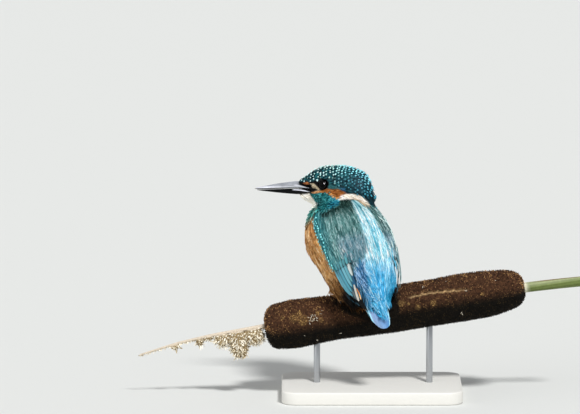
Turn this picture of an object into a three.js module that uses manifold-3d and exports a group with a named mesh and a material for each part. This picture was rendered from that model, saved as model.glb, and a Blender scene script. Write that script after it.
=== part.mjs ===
// A young common kingfisher at rest on a bulrush seed head, on a plain display stand.
// Millimetres, +Z up. The origin is the centre of the base's underside, the seed head runs
// along X, and the bird faces away along +Y with its head turned over its left shoulder to -X.

import * as THREE from "three";
import { mergeVertices } from "three/addons/utils/BufferGeometryUtils.js";
import Module from "manifold-3d";

const wasm = await Module();
wasm.setup();

// ---------------------------------------------------------------- driving dimensions

const degrees = Math.PI / 180;
const GAP = 0.3;
const MERGE_DISTANCE = 1e-4;
const POLE_SIZE = 1e-3;

const BODY_PLACE = [-12.5, 0, 91];
const BODY_TURN = 118; // the way the body faces, from +X towards +Y
const BODY_PITCH = 53; // the back's slope above the horizontal

const HEAD_PLACE = [-20.1, 15.7, 129];
const HEAD_TURN = 170;
const HEAD_DIP = 2.5; // the bill points this far below level

const SPIKE_PLACE = [14.5, 0, 54.7];
const SPIKE_LENGTH = 164;
const SPIKE_TILT = 9;
const SPIKE_RADIUS = [14.3, 14.7, 13.8]; // at the tip end, the middle and the stem end
const SPIKE_LUMPS = [0.35, 0.25];

const LONG_LUMPS = 0.11; // how fast the lumps change along the seed head, in radians a millimetre
const SHORT_LUMPS = 0.23;
const FALL_START = 0.78; // the share of the half length where the stem end starts to fall away
const FALL_DEPTH = 0.2;

const STEM_RADIUS = 3.2;
const STEM_LENGTH = 37;

const STALK_RADIUS = [1.75, 0.6]; // at the seed head and at its broken tip

const BASE_SIZE = [112, 76, 8];
const BASE_CORNER = 10;
const BASE_BEVEL = 1;
const ROD_RADIUS = 2;
const ROD_SOCKET = 4; // how far a rod goes into the base
const ROD_PLACES = [-34, 36];
const ROD_DEPTH = 6; // how far a rod goes into the seed head

const EYE_RADIUS = 3.3;
const EYE_PLACE = [8.4, 7.6, 2.0];

// How many sides round, and rings or steps along, each faceted solid has.
const TRUNK_FACETS = [22, 17];
const HEAD_FACETS = [20, 14];
const NECK_FACETS = [18, 7];
const BILL_FACETS = [8, 8];
const EYE_FACETS = [12, 8];
const LEG_FACETS = [6, 4];
const TOE_FACETS = [5, 6];
const CLAW_FACETS = [5, 4];
const BALL_FACETS = [7, 5];
const ROOM_FACETS = [8, 8];
const STALK_FACETS = [6, 12];
const SPIKE_FACETS = [20, 18];
const ROD_SIDES = 12;

// ---------------------------------------------------------------- frames

const model = new THREE.Group();
const stand = new THREE.Group();
const perch = new THREE.Group();
const bird = new THREE.Group();
const head = new THREE.Group();
model.add(stand, perch, bird, head);

perch.position.set(...SPIKE_PLACE);
perch.rotation.y = -SPIKE_TILT * degrees;
bird.position.set(...BODY_PLACE);
bird.rotation.set(0, -BODY_PITCH * degrees, BODY_TURN * degrees, "ZYX");
head.position.set(...HEAD_PLACE);
head.rotation.set(0, HEAD_DIP * degrees, HEAD_TURN * degrees, "ZYX");
model.updateMatrixWorld(true);

// ---------------------------------------------------------------- solids

// A closed mesh as a solid that can be joined and cut.
function solidFrom(geometry) {
  const bare = geometry.clone();
  bare.deleteAttribute("normal");
  bare.deleteAttribute("uv");
  const merged = mergeVertices(bare, MERGE_DISTANCE);
  const mesh = new wasm.Mesh({
    numProp: 3,
    vertProperties: merged.attributes.position.array,
    triVerts: new Uint32Array(merged.index.array),
  });
  return new wasm.Manifold(mesh);
}

function geometryFrom(solid) {
  const mesh = solid.getMesh();
  const geometry = new THREE.BufferGeometry();
  geometry.setAttribute("position", new THREE.BufferAttribute(mesh.vertProperties, 3));
  geometry.setIndex(new THREE.BufferAttribute(mesh.triVerts, 1));
  geometry.computeVertexNormals();
  return geometry;
}

// A solid made in one group's frame, in another group's frame.
function carried(solid, from, to) {
  const matrix = to.matrixWorld.clone().invert().multiply(from.matrixWorld);
  return solid.transform(matrix.elements);
}

// The largest piece of a solid that a cut left in several.
function largest(solid) {
  const pieces = solid.decompose();
  return pieces.reduce((best, piece) => (piece.volume() > best.volume() ? piece : best));
}

function addPart(group, name, solid, finish) {
  const material = new THREE.MeshStandardMaterial(finish);
  const mesh = new THREE.Mesh(geometryFrom(solid), material);
  mesh.name = name;
  group.add(mesh);
}

// Reads a smooth curve through rows of numbers at t from 0 to 1.
function smoothRows(rows) {
  const width = rows[0].length;
  const places = rows.map((row, index) => index / (rows.length - 1));
  const curve = new THREE.CubicInterpolant(places, rows.flat(), width);
  return (t) => Array.from(curve.evaluate(Math.min(Math.max(t, 0), 1)));
}

// A rounded section: half the width, the top, the bottom and the height of the widest place.
function sectionPoint([x, half, top, bottom, waist], angle, lift) {
  const side = Math.cos(angle);
  const rise = Math.sin(angle);
  const height = rise > 0 ? top - waist : waist - bottom;
  return new THREE.Vector3(x, (half + lift) * side, waist + (height + lift) * rise);
}

// A closed body along X: stations of [x, half width, top, bottom, widest height], tip to tip.
function body(stations, [sides, rings], lift = 0) {
  const row = smoothRows(stations);
  const ball = new THREE.SphereGeometry(1, sides, rings);
  const place = ball.attributes.position;
  const grown = lift / 2;
  for (let i = 0; i < place.count; i += 1) {
    const polar = Math.acos(THREE.MathUtils.clamp(place.getY(i), -1, 1));
    const t = polar / Math.PI;
    const angle = Math.atan2(place.getZ(i), place.getX(i));
    const atPole = Math.sin(polar) < POLE_SIZE;
    const point = sectionPoint(row(t), angle, atPole ? 0 : lift);
    if (atPole) {
      point.y = 0;
    }
    const outward = Math.sign(stations[0][0] - stations.at(-1)[0]) * Math.cos(polar);
    place.setXYZ(i, point.x + grown * outward, point.y, point.z);
  }
  return solidFrom(faceOut(ball));
}

// Turns a closed mesh's faces round if they point inwards.
function faceOut(geometry) {
  const place = geometry.attributes.position;
  const index = geometry.index.array;
  const [a, b, c] = [new THREE.Vector3(), new THREE.Vector3(), new THREE.Vector3()];
  let volume = 0;
  for (let i = 0; i < index.length; i += 3) {
    a.fromBufferAttribute(place, index[i]);
    b.fromBufferAttribute(place, index[i + 1]);
    c.fromBufferAttribute(place, index[i + 2]);
    volume += a.dot(b.cross(c));
  }
  if (volume < 0) {
    for (let i = 0; i < index.length; i += 3) {
      [index[i + 1], index[i + 2]] = [index[i + 2], index[i + 1]];
    }
  }
  return geometry;
}

const LIMB_FULLNESS = 1.6; // how soon a limb's rounded end reaches its full radius

// A closed round body along a curve, with a radius for each place from 0 to 1.
function limb(curve, radiusAt, [sides, rings]) {
  const ball = new THREE.SphereGeometry(1, sides, rings);
  const place = ball.attributes.position;
  const frames = curve.computeFrenetFrames(rings, false);
  for (let i = 0; i < place.count; i += 1) {
    const polar = Math.acos(THREE.MathUtils.clamp(place.getY(i), -1, 1));
    const ring = Math.round((polar / Math.PI) * rings);
    const t = (1 - Math.cos(polar)) / 2;
    const angle = Math.atan2(place.getZ(i), place.getX(i));
    const round = Math.min(1, Math.sin(polar) * LIMB_FULLNESS);
    const atPole = ring === 0 || ring === rings;
    const radius = atPole ? 0 : radiusAt(t) * round;
    const point = curve.getPointAt(t);
    point.addScaledVector(frames.normals[ring], radius * Math.cos(angle));
    point.addScaledVector(frames.binormals[ring], radius * Math.sin(angle));
    place.setXYZ(i, point.x, point.y, point.z);
  }
  return solidFrom(faceOut(ball));
}

// A closed plate: place(u, v, w) gives its point for u, v from 0 to 1 and w = 0 inside, 1 outside.
function plate(place, alongCount, acrossCount) {
  const box = new THREE.BoxGeometry(1, 1, 1, alongCount, acrossCount, 1);
  const position = box.attributes.position;
  for (let i = 0; i < position.count; i += 1) {
    const u = position.getX(i) + 0.5;
    const v = position.getY(i) + 0.5;
    const w = position.getZ(i) + 0.5;
    const point = place(u, v, w);
    position.setXYZ(i, point.x, point.y, point.z);
  }
  return solidFrom(faceOut(box));
}

function mirrored(solid) {
  return solid.mirror([0, 1, 0]);
}

// ---------------------------------------------------------------- perch

const seedHeadBrown = { color: "#4b2d1c", roughness: 0.95, metalness: 0 };
const stemGreen = { color: "#9aa763", roughness: 0.7, metalness: 0 };
const strawDry = { color: "#cdbb94", roughness: 0.9, metalness: 0 };

const halfSpike = SPIKE_LENGTH / 2;
const spikeStations = [
  [-halfSpike, 0],
  [-halfSpike + 0.4, 6],
  [-halfSpike + 2.6, 11.4],
  [-halfSpike + 8, SPIKE_RADIUS[0]],
  [-halfSpike * 0.4, SPIKE_RADIUS[0]],
  [0, SPIKE_RADIUS[1]],
  [halfSpike * 0.5, SPIKE_RADIUS[1]],
  [halfSpike * 0.82, SPIKE_RADIUS[2]],
  [halfSpike - 4.5, 11.4],
  [halfSpike - 1, 7],
  [halfSpike, 0],
];

// The seed head is a little lumpy, and its stem end falls away underneath.
function spikeSolid(growth) {
  const curve = new THREE.CatmullRomCurve3(
    spikeStations.map(([x, radius]) => new THREE.Vector3(radius, x, 0)),
    false,
    "centripetal",
  );
  const [sides, steps] = SPIKE_FACETS;
  const profile = curve.getPoints(steps).map((p) => new THREE.Vector2(Math.max(p.x, 0), p.y));
  profile[0].x = 0;
  profile.at(-1).x = 0;
  const lathe = new THREE.LatheGeometry(profile, sides);
  lathe.rotateZ(-Math.PI / 2);
  const place = lathe.attributes.position;
  for (let i = 0; i < place.count; i += 1) {
    const x = place.getX(i);
    const y = place.getY(i);
    const z = place.getZ(i);
    const radius = Math.hypot(y, z);
    const around = Math.atan2(z, y);
    const longLump = SPIKE_LUMPS[0] * Math.sin(x * LONG_LUMPS + 2 * around);
    const lump = longLump + SPIKE_LUMPS[1] * Math.sin(x * SHORT_LUMPS - around);
    const scale = radius > 1 ? (radius + lump + growth) / radius : 1;
    const slope = Math.max(0, x / halfSpike - FALL_START) / (1 - FALL_START);
    const lowered = z < 0 ? 1 - FALL_DEPTH * slope * slope : 1;
    place.setXYZ(i, x, y * scale, z * scale * lowered);
  }
  return solidFrom(faceOut(lathe));
}

const stemPath = new THREE.CatmullRomCurve3([
  new THREE.Vector3(halfSpike - 9, 0, 0.4),
  new THREE.Vector3(halfSpike + 6, 0, 0),
  new THREE.Vector3(halfSpike + STEM_LENGTH, 0, -1.6),
]);
function stemSolid(radius) {
  const section = new THREE.Shape().absarc(0, 0, radius, 0, 2 * Math.PI);
  const round = { extrudePath: stemPath, steps: 3, curveSegments: 6, bevelEnabled: false };
  return solidFrom(new THREE.ExtrudeGeometry(section, round));
}

// The dry flower stalk beyond the seed head's tip, thin and slightly bowed.
const stalkPath = new THREE.CatmullRomCurve3([
  new THREE.Vector3(-halfSpike + 6, 0, 0.6),
  new THREE.Vector3(-halfSpike - 10, -1, 2),
  new THREE.Vector3(-halfSpike - 33, -1.5, 2.2),
  new THREE.Vector3(-halfSpike - 56, -0.5, -0.6),
  new THREE.Vector3(-halfSpike - 79, 1, -4.4),
]);
const stalkRadius = (t) => THREE.MathUtils.lerp(...STALK_RADIUS, t);
const stalkSolid = limb(stalkPath, stalkRadius, STALK_FACETS);
const stalkHole = limb(stalkPath, (t) => stalkRadius(t) + GAP, STALK_FACETS);

// Tufts of shed down that hang under the stalk: [place beyond the seed head, half the length,
// half the depth, half the drop].
const tufts = [
  [7, 6.5, 4.4, 5.8],
  [17.5, 6, 4.6, 10.2],
  [27, 5.2, 3.4, 5],
  [35, 3.4, 1.8, 2.2],
  [41, 2.6, 1.5, 3.4],
  [57, 3.2, 1.4, 2],
];

const spikeWhole = spikeSolid(0);
const spikeGrown = spikeSolid(GAP);

// ---------------------------------------------------------------- stand

const standPaint = { color: "#e8e6e0", roughness: 0.55, metalness: 0 };
const rodSteel = { color: "#b9bcc0", roughness: 0.35, metalness: 0.9 };

function roundedBase() {
  const [length, width, height] = BASE_SIZE;
  const [halfLength, halfWidth] = [length / 2, width / 2];
  const corner = BASE_CORNER;
  const outline = new THREE.Shape();
  outline.moveTo(-halfLength + corner, -halfWidth);
  outline.lineTo(halfLength - corner, -halfWidth);
  outline.absarc(halfLength - corner, -halfWidth + corner, corner, -Math.PI / 2, 0);
  outline.absarc(halfLength - corner, halfWidth - corner, corner, 0, Math.PI / 2);
  outline.absarc(-halfLength + corner, halfWidth - corner, corner, Math.PI / 2, Math.PI);
  outline.absarc(-halfLength + corner, -halfWidth + corner, corner, Math.PI, 1.5 * Math.PI);
  const slab = new THREE.ExtrudeGeometry(outline, {
    depth: height - 2 * BASE_BEVEL,
    bevelThickness: BASE_BEVEL,
    bevelSize: BASE_BEVEL,
    bevelOffset: -BASE_BEVEL,
    bevelSegments: 1,
    curveSegments: 3,
  });
  slab.translate(0, 0, BASE_BEVEL);
  return slab;
}

function rodSolid(x, radius, foot) {
  const spikeHeight = SPIKE_PLACE[2] + (x - SPIKE_PLACE[0]) * Math.tan(SPIKE_TILT * degrees);
  const top = spikeHeight - SPIKE_RADIUS[1] + ROD_DEPTH + (radius - ROD_RADIUS);
  const rod = new THREE.CylinderGeometry(radius, radius, top - foot, ROD_SIDES);
  rod.rotateX(Math.PI / 2);
  rod.translate(x, 0, (top + foot) / 2);
  return solidFrom(rod);
}

let baseSolid = solidFrom(roundedBase());
let spike = spikeWhole.subtract(stemSolid(STEM_RADIUS + GAP));
spike = spike.subtract(stalkHole);
ROD_PLACES.forEach((x, index) => {
  const foot = BASE_SIZE[2] - ROD_SOCKET;
  const socket = rodSolid(x, ROD_RADIUS + GAP, foot - GAP);
  baseSolid = baseSolid.subtract(socket);
  spike = spike.subtract(carried(socket, stand, perch));
  addPart(stand, `stand_rod_${index + 1}`, rodSolid(x, ROD_RADIUS, foot), rodSteel);
});
addPart(stand, "stand_base", baseSolid, standPaint);
addPart(perch, "perch_seed_head", largest(spike), seedHeadBrown);
addPart(perch, "perch_stem", stemSolid(STEM_RADIUS), stemGreen);

// How high the stalk runs over a place beyond the seed head.
const stalkPoints = stalkPath.getPoints(40);
function stalkHeight(beyondTip) {
  const target = -halfSpike - beyondTip;
  const near = (p) => Math.abs(p.x - target);
  return stalkPoints.reduce((best, p) => (near(p) < near(best) ? p : best)).z;
}

const TUFT_HANG = 0.85; // how much of a tuft's half drop its middle hangs under the stalk
const RAGGEDNESS = 0.16;

let stalk = stalkSolid;
for (const [beyondTip, halfLength, halfDepth, halfDrop] of tufts) {
  const tuft = new THREE.IcosahedronGeometry(1, 1);
  const place = tuft.attributes.position;
  for (let i = 0; i < place.count; i += 1) {
    const [px, py, pz] = [place.getX(i), place.getY(i), place.getZ(i)];
    const ragged = 1 + RAGGEDNESS * Math.sin(5 * px + beyondTip) * Math.sin(4 * pz + 2 * py);
    place.setXYZ(
      i,
      halfLength * px * ragged - halfSpike - beyondTip,
      halfDepth * py * ragged - 1,
      halfDrop * (pz * ragged - TUFT_HANG) + stalkHeight(beyondTip),
    );
  }
  tuft.setIndex([...Array(place.count).keys()]);
  stalk = stalk.add(solidFrom(tuft));
}
addPart(perch, "perch_dry_tip", largest(stalk.subtract(spikeGrown)), strawDry);

// ---------------------------------------------------------------- bird

const backBlue = { color: "#4fb3d9", roughness: 0.5, metalness: 0 };
const wingTeal = { color: "#2b7f84", roughness: 0.55, metalness: 0 };
const crownTeal = { color: "#14535c", roughness: 0.55, metalness: 0 };
const neckPale = { color: "#e9d9bd", roughness: 0.7, metalness: 0 };
const tailBlue = { color: "#3f86c4", roughness: 0.5, metalness: 0 };
const billHorn = { color: "#26282b", roughness: 0.35, metalness: 0 };
const eyeDark = { color: "#0d0b0a", roughness: 0.08, metalness: 0 };
const footRed = { color: "#a8472c", roughness: 0.6, metalness: 0 };
const clawDark = { color: "#3a2a24", roughness: 0.4, metalness: 0 };

// The body from the tail coverts to the shoulders.
const trunkStations = [
  [-52, 0, 11, 9, 10],
  [-50, 5.5, 12.6, 7.6, 10],
  [-40, 11.5, 16.5, -3.5, 8],
  [-28, 18.3, 22, -19.5, 3],
  [-11, 22.4, 27, -24.5, 1],
  [5, 24.6, 27.5, -25, 0],
  [17, 23, 24.5, -23.5, 0],
  [27, 18.5, 19, -19, 0],
  [34, 11, 11, -11, 1],
  [36.5, 0, 1, 1, 1],
];
const trunkRow = smoothRows(trunkStations);

const neckStations = [
  [8, 0, 0, 0, 0],
  [10, 12, 14, -12, 1],
  [24, 16, 20, -16, 2],
  [36, 13.5, 19, -9, 4],
  [46, 8, 13, -3, 5],
  [48, 0, 5, 5, 5],
];

// The head from the nape to the feathers at the bill.
const headStations = [
  [-23, 0, -4, -4, -4],
  [-22.2, 5.5, 0.5, -12, -5],
  [-18, 9.8, 6.8, -14, -3],
  [-12.5, 12.2, 10.3, -14, -2],
  [-5, 13, 12.8, -14, -1],
  [3, 12.5, 13.2, -14, -1],
  [10, 10.4, 12.2, -13.2, -1],
  [16.5, 7.8, 9.6, -11.4, -1],
  [21.5, 5.2, 5.9, -8, -1],
  [25, 3.2, 3.3, -5, -1],
  [26, 0, -1, -1, -1],
];

// ---- bill

const upperBillStations = [
  [20, 0, 1, 1, 1],
  [20.2, 2.6, 3.3, -0.4, 0.4],
  [25, 3.2, 3.2, -0.7, 0.2],
  [32, 2.7, 2.5, -1.1, -0.2],
  [40, 2.0, 1.3, -1.5, -0.7],
  [48, 1.2, -0.1, -1.9, -1.2],
  [52, 0.7, -1.1, -2.3, -1.8],
  [53.2, 0, -1.9, -1.9, -1.9],
];
const lowerBillStations = [
  [20, 0, -2, -2, -2],
  [20.2, 2.4, -0.2, -4.0, -1.4],
  [25, 2.9, -0.4, -4.6, -1.5],
  [32, 2.5, -0.8, -4.2, -1.8],
  [40, 1.9, -1.2, -3.7, -2.1],
  [48, 1.1, -1.7, -3.2, -2.3],
  [51.4, 0.5, -2.0, -2.9, -2.5],
  [52, 0, -2.5, -2.5, -2.5],
];
const billUpper = body(upperBillStations, BILL_FACETS);
const billUpperGrown = body(upperBillStations, BILL_FACETS, GAP);
const billLower = body(lowerBillStations, BILL_FACETS).subtract(billUpperGrown);
const billHole = body(lowerBillStations, BILL_FACETS, GAP).add(billUpperGrown);

// ---- eyes

function eyeBall(side, radius) {
  const ball = new THREE.SphereGeometry(radius, ...EYE_FACETS);
  ball.translate(EYE_PLACE[0], side * EYE_PLACE[1], EYE_PLACE[2]);
  return solidFrom(ball);
}

// ---- wings: plates that lie on the body, [t along the body, lower edge, upper edge, lift, thickness]

const wingRows = smoothRows([
  [0.83, 22, 36, 0.5, 0.8],
  [0.795, 4, 48, 0.5, 2.2],
  [0.7, -6, 55, 0.5, 3.2],
  [0.58, -6, 58, 0.5, 3.4],
  [0.46, 0, 60, 0.6, 3.0],
  [0.36, 6, 57, 1.0, 2.6],
  [0.28, 7, 47, 1.4, 2.2],
  [0.22, 6, 33, 2.2, 1.6],
  [0.19, 6, 20, 2.8, 0.8],
]);

const WING_ACROSS = 7; // facets across a wing
const EDGE_THICKNESS = 0.5;
const EDGE_START = 0.08; // where the rounding of a wing's long edges starts, in half turns

function wingPlate(from, to, alongCount) {
  const place = (u, v, w) => {
    const [t, low, high, lift, thickness] = wingRows(THREE.MathUtils.lerp(from, to, u));
    const angle = THREE.MathUtils.lerp(low, high, v) * degrees;
    const swell = Math.sin(Math.PI * THREE.MathUtils.lerp(EDGE_START, 1 - EDGE_START, v));
    const depth = THREE.MathUtils.lerp(EDGE_THICKNESS, thickness, swell);
    return sectionPoint(trunkRow(t), angle, lift + w * depth);
  };
  return plate(place, alongCount, WING_ACROSS);
}

// ---- tail: twelve feathers folded to a short rounded fan

const TAIL_ROOT = -28;
const TAIL_TIP = -62.5;
const TAIL_HALF_WIDTH = [4.5, 6.8];
const TAIL_HALF_THICKNESS = [1.1, 0.7];
const TAIL_FEATHERS = 12;
const TAIL_HEIGHT = 10.8;
const TAIL_CAMBER = 0.02; // how fast the fan falls away from its midline
const TAIL_ROUNDING = 5.5; // how much shorter the outer feathers are
const TAIL_NOTCH = 0.7;
const TAIL_TAPER = 0.16;
const TAIL_TAPER_START = 0.75;
const TAIL_FACETS = [6, 20];

function tailPlate(growth) {
  const place = (u, v, w) => {
    const across = v * 2 - 1;
    const notch = TAIL_NOTCH * Math.abs(Math.sin((across * TAIL_FEATHERS * Math.PI) / 4));
    const shorter = TAIL_ROUNDING * Math.abs(across) ** 2.6 + notch;
    const spread = THREE.MathUtils.lerp(...TAIL_HALF_WIDTH, Math.min(1, u * 1.6));
    const taper = Math.max(0, u - TAIL_TAPER_START) / (1 - TAIL_TAPER_START);
    const rise = TAIL_HEIGHT - TAIL_CAMBER * (across * spread) ** 2;
    const thickness = THREE.MathUtils.lerp(...TAIL_HALF_THICKNESS, u) + growth;
    const x = THREE.MathUtils.lerp(TAIL_ROOT, TAIL_TIP + shorter, u) - growth * Math.sign(u - 0.5);
    const y = across * (spread * (1 - TAIL_TAPER * taper) + growth);
    return new THREE.Vector3(x, y, rise + (w * 2 - 1) * thickness);
  };
  return plate(place, ...TAIL_FACETS);
}

// ---- legs and feet, gripping the seed head

const CLAW_START = 0.93; // a claw leaves its toe here and ends at CLAW_SHARE of the toe's reach
const CLAW_SHARE = 1.3;
const CLAW_FALL = 2.2;
const CLAW_RADIUS = [0.75, 0.25];
const CURVE_STEPS = 5;
const FOOT_SPREAD = 8;
const TOE_RADIUS = 1.15;
const GRIP_RADIUS = SPIKE_RADIUS[0] + SPIKE_LUMPS[0] + SPIKE_LUMPS[1] + TOE_RADIUS + GAP;

const acrossBird = new THREE.Vector3(Math.sin(BODY_TURN * degrees), -Math.cos(BODY_TURN * degrees));
const TOES = [
  { name: "inner", turn: 16, reach: 46, shift: 1.6, radius: 0.95 },
  { name: "middle", turn: 2, reach: 62, shift: 0, radius: 1.15 },
  { name: "outer", turn: -14, reach: 56, shift: -1.9, radius: 1.05 },
  { name: "hind", turn: 4, reach: -40, shift: 0, radius: 1.05 },
];

// A point just off the seed head's skin: along it, and round it from the top towards +Y.
function gripPoint(along, around, radius) {
  return new THREE.Vector3(along, radius * Math.sin(around), radius * Math.cos(around));
}

function toeCurve(toe, side, from, to, footX) {
  const points = [];
  for (let i = 0; i <= CURVE_STEPS; i += 1) {
    const share = THREE.MathUtils.lerp(from, to, i / CURVE_STEPS);
    const around = toe.reach * degrees * share;
    const drift = Math.tan(toe.turn * side * degrees) * Math.abs(around) * GRIP_RADIUS;
    const fall = Math.max(0, share - 1) * CLAW_FALL;
    points.push(gripPoint(footX + toe.shift * side - drift, around, GRIP_RADIUS - fall));
  }
  return new THREE.CatmullRomCurve3(points);
}

const LEG_RADIUS = 1.25;
const BALL_RADIUS = 2.1;
const BALL_SHAPE = [1.15, 1, 0.75];
const BALL_LIFT = 0.4;
const FOOT_ROOM = 3.7; // the radius of the hollow in the belly feathers that the toes lie in
const ROOM_PATH = { turn: 0, reach: 60, shift: 0 };
const LEG_TOP = [-4, 7.2, -14]; // in the bird's frame, on its right side
const ANKLE_HEIGHT = 3.5;
const ANKLE_LEAN = 1.5;

function footParts(side) {
  const footWorld = new THREE.Vector3(...BODY_PLACE).addScaledVector(acrossBird, side * FOOT_SPREAD);
  const footX = perch.worldToLocal(footWorld.setY(0).setZ(SPIKE_PLACE[2])).x;
  const [topX, topY, topZ] = LEG_TOP;
  const legTop = bird.localToWorld(new THREE.Vector3(topX, -side * topY, topZ));
  const legPath = new THREE.CatmullRomCurve3([
    gripPoint(footX, 0, GRIP_RADIUS),
    gripPoint(footX, ANKLE_LEAN * degrees, GRIP_RADIUS + ANKLE_HEIGHT),
    perch.worldToLocal(legTop),
  ]);
  const leg = (growth) => limb(legPath, () => LEG_RADIUS + growth, LEG_FACETS);
  const claw = (toe, growth) => {
    const path = toeCurve(toe, side, CLAW_START, CLAW_SHARE, footX);
    return limb(path, (t) => THREE.MathUtils.lerp(...CLAW_RADIUS, t) + growth, CLAW_FACETS);
  };
  const ball = new THREE.SphereGeometry(BALL_RADIUS, ...BALL_FACETS);
  ball.scale(...BALL_SHAPE);
  ball.translate(footX, 0, GRIP_RADIUS + BALL_LIFT);
  const toes = TOES.map((toe) => {
    return limb(toeCurve(toe, side, 0, 1, footX), () => toe.radius, TOE_FACETS);
  });
  const foot = toes.reduce((whole, toe) => whole.add(toe), solidFrom(ball));
  const roomPath = toeCurve(ROOM_PATH, side, -0.9, CLAW_SHARE, footX);
  const room = limb(roomPath, () => FOOT_ROOM, ROOM_FACETS).add(leg(GAP));
  return { leg, claw, foot, room };
}

// ---- the flesh as one body, then parted with thin cuts

const trunkSolid = body(trunkStations, TRUNK_FACETS);
const headSolid = carried(body(headStations, HEAD_FACETS), head, bird);
const neckSolid = body(neckStations, NECK_FACETS);
let flesh = trunkSolid.add(neckSolid).add(headSolid);
flesh = flesh.subtract(carried(spikeGrown, perch, bird));
flesh = flesh.subtract(tailPlate(GAP));
flesh = flesh.subtract(carried(billHole, head, bird));
for (const side of [1, -1]) {
  flesh = flesh.subtract(carried(eyeBall(side, EYE_RADIUS + GAP), head, bird));
}

const headCentre = bird.worldToLocal(new THREE.Vector3(...HEAD_PLACE));
const neckLine = headCentre.clone().normalize();
const HEAD_CUT = 33;
const NECK_CUT = 26;
const upTo = (solid, place) => solid.trimByPlane(neckLine.clone().negate().toArray(), -place);
const beyond = (solid, place) => solid.trimByPlane(neckLine.toArray(), place);

let trunk = upTo(flesh, NECK_CUT);
const neck = upTo(beyond(flesh, NECK_CUT + GAP), HEAD_CUT);
const headFlesh = beyond(flesh, HEAD_CUT + GAP);

for (const [label, side] of [["left", -1], ["right", 1]]) {
  const { leg, claw, foot, room } = footParts(side);
  trunk = trunk.subtract(carried(room, perch, bird));
  let footPart = foot.subtract(leg(GAP));
  for (const toe of TOES) {
    footPart = footPart.subtract(claw(toe, GAP));
    addPart(perch, `claw_${label}_${toe.name}`, claw(toe, 0), clawDark);
  }
  addPart(perch, `foot_${label}`, largest(footPart), footRed);
  addPart(perch, `leg_${label}`, leg(0), footRed);
}

addPart(bird, "trunk", largest(trunk), backBlue);
addPart(bird, "neck", largest(neck), neckPale);
addPart(head, "head", largest(carried(headFlesh, bird, head)), crownTeal);
addPart(bird, "tail", tailPlate(0), tailBlue);
addPart(head, "bill_upper", billUpper, billHorn);
addPart(head, "bill_lower", largest(billLower), billHorn);
addPart(head, "eye_left", eyeBall(1, EYE_RADIUS), eyeDark);
addPart(head, "eye_right", eyeBall(-1, EYE_RADIUS), eyeDark);

const WING_CUT = 0.56; // where the coverts end and the flight feathers start
const WING_CUT_WIDTH = 0.008;
const WING_STEPS = [8, 6];
const leftShoulder = wingPlate(0, WING_CUT, WING_STEPS[0]);
const leftFlight = wingPlate(WING_CUT + WING_CUT_WIDTH, 1, WING_STEPS[1]);
const neckGrown = body(neckStations, NECK_FACETS, GAP * 1.5);
const headGrown = carried(body(headStations, HEAD_FACETS, GAP * 1.5), head, bird);
const clearOfHead = (wing) => largest(wing.subtract(neckGrown).subtract(headGrown));
addPart(bird, "wing_left", clearOfHead(leftShoulder), wingTeal);
addPart(bird, "wing_left_flight", leftFlight, wingTeal);
addPart(bird, "wing_right", clearOfHead(mirrored(leftShoulder)), wingTeal);
addPart(bird, "wing_right_flight", mirrored(leftFlight), wingTeal);

export default model;
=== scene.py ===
# %% [markdown]
# # A young kingfisher on a bulrush seed head
# The bird is a still, life-size model. Its solids are already made and packed, and this
# script gives them their looks: one skin, a coat of small feathers that follows it, big
# feathers for the wings and tail, a horn bill, wet eyes, and the plant that it grips.

import math
from contextlib import contextmanager
from types import SimpleNamespace

import bpy
import numpy as np
from mathutils import Matrix, Vector, kdtree
from mathutils.bvhtree import BVHTree

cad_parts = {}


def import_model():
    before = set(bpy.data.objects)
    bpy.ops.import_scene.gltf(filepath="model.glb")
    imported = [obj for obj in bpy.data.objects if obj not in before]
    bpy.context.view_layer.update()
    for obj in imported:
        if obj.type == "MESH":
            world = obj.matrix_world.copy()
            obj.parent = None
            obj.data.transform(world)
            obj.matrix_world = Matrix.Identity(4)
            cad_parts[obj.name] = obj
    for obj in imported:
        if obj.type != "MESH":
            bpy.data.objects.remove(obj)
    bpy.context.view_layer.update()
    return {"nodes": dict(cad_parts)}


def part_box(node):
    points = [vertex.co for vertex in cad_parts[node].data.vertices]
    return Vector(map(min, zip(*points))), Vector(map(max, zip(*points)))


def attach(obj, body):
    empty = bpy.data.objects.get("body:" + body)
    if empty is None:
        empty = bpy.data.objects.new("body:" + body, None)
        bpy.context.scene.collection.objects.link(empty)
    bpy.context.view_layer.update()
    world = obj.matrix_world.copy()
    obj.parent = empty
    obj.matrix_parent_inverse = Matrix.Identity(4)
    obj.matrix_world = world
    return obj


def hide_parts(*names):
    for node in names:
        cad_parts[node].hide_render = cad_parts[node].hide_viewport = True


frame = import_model()
MM = 0.001
BODY_NAME = "root"
chance = np.random.default_rng(11)

# %% [markdown]
# ## Three local frames
# A bird is easiest to describe along its own body: forward, left and up. The head is turned
# over the shoulder, so it has a frame of its own, and so has the leaning seed head. Each frame
# is a matrix, and every size below is in millimetres in one of them.

# %% Frames of the body, the head and the perch
BODY_PLACE, BODY_TURN, BODY_PITCH = (-12.5, 0.0, 91.0), 118.0, 53.0
HEAD_TURN, HEAD_DIP = 170.0, 2.5
EYE_PLACE = Vector((8.4, 7.6, 2.0))
PERCH_PLACE, PERCH_TILT = (14.5, 0.0, 54.7), 9.0
SIDES = (("left", 1), ("right", -1))


def middle(node):
    low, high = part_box(node)
    return (low + high) / 2


def frame_matrix(place, turn, dip):
    spin = Matrix.Rotation(math.radians(turn), 4, "Z") @ Matrix.Rotation(math.radians(dip), 4, "Y")
    return Matrix.Translation(place) @ spin @ Matrix.Scale(MM, 4)


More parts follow.
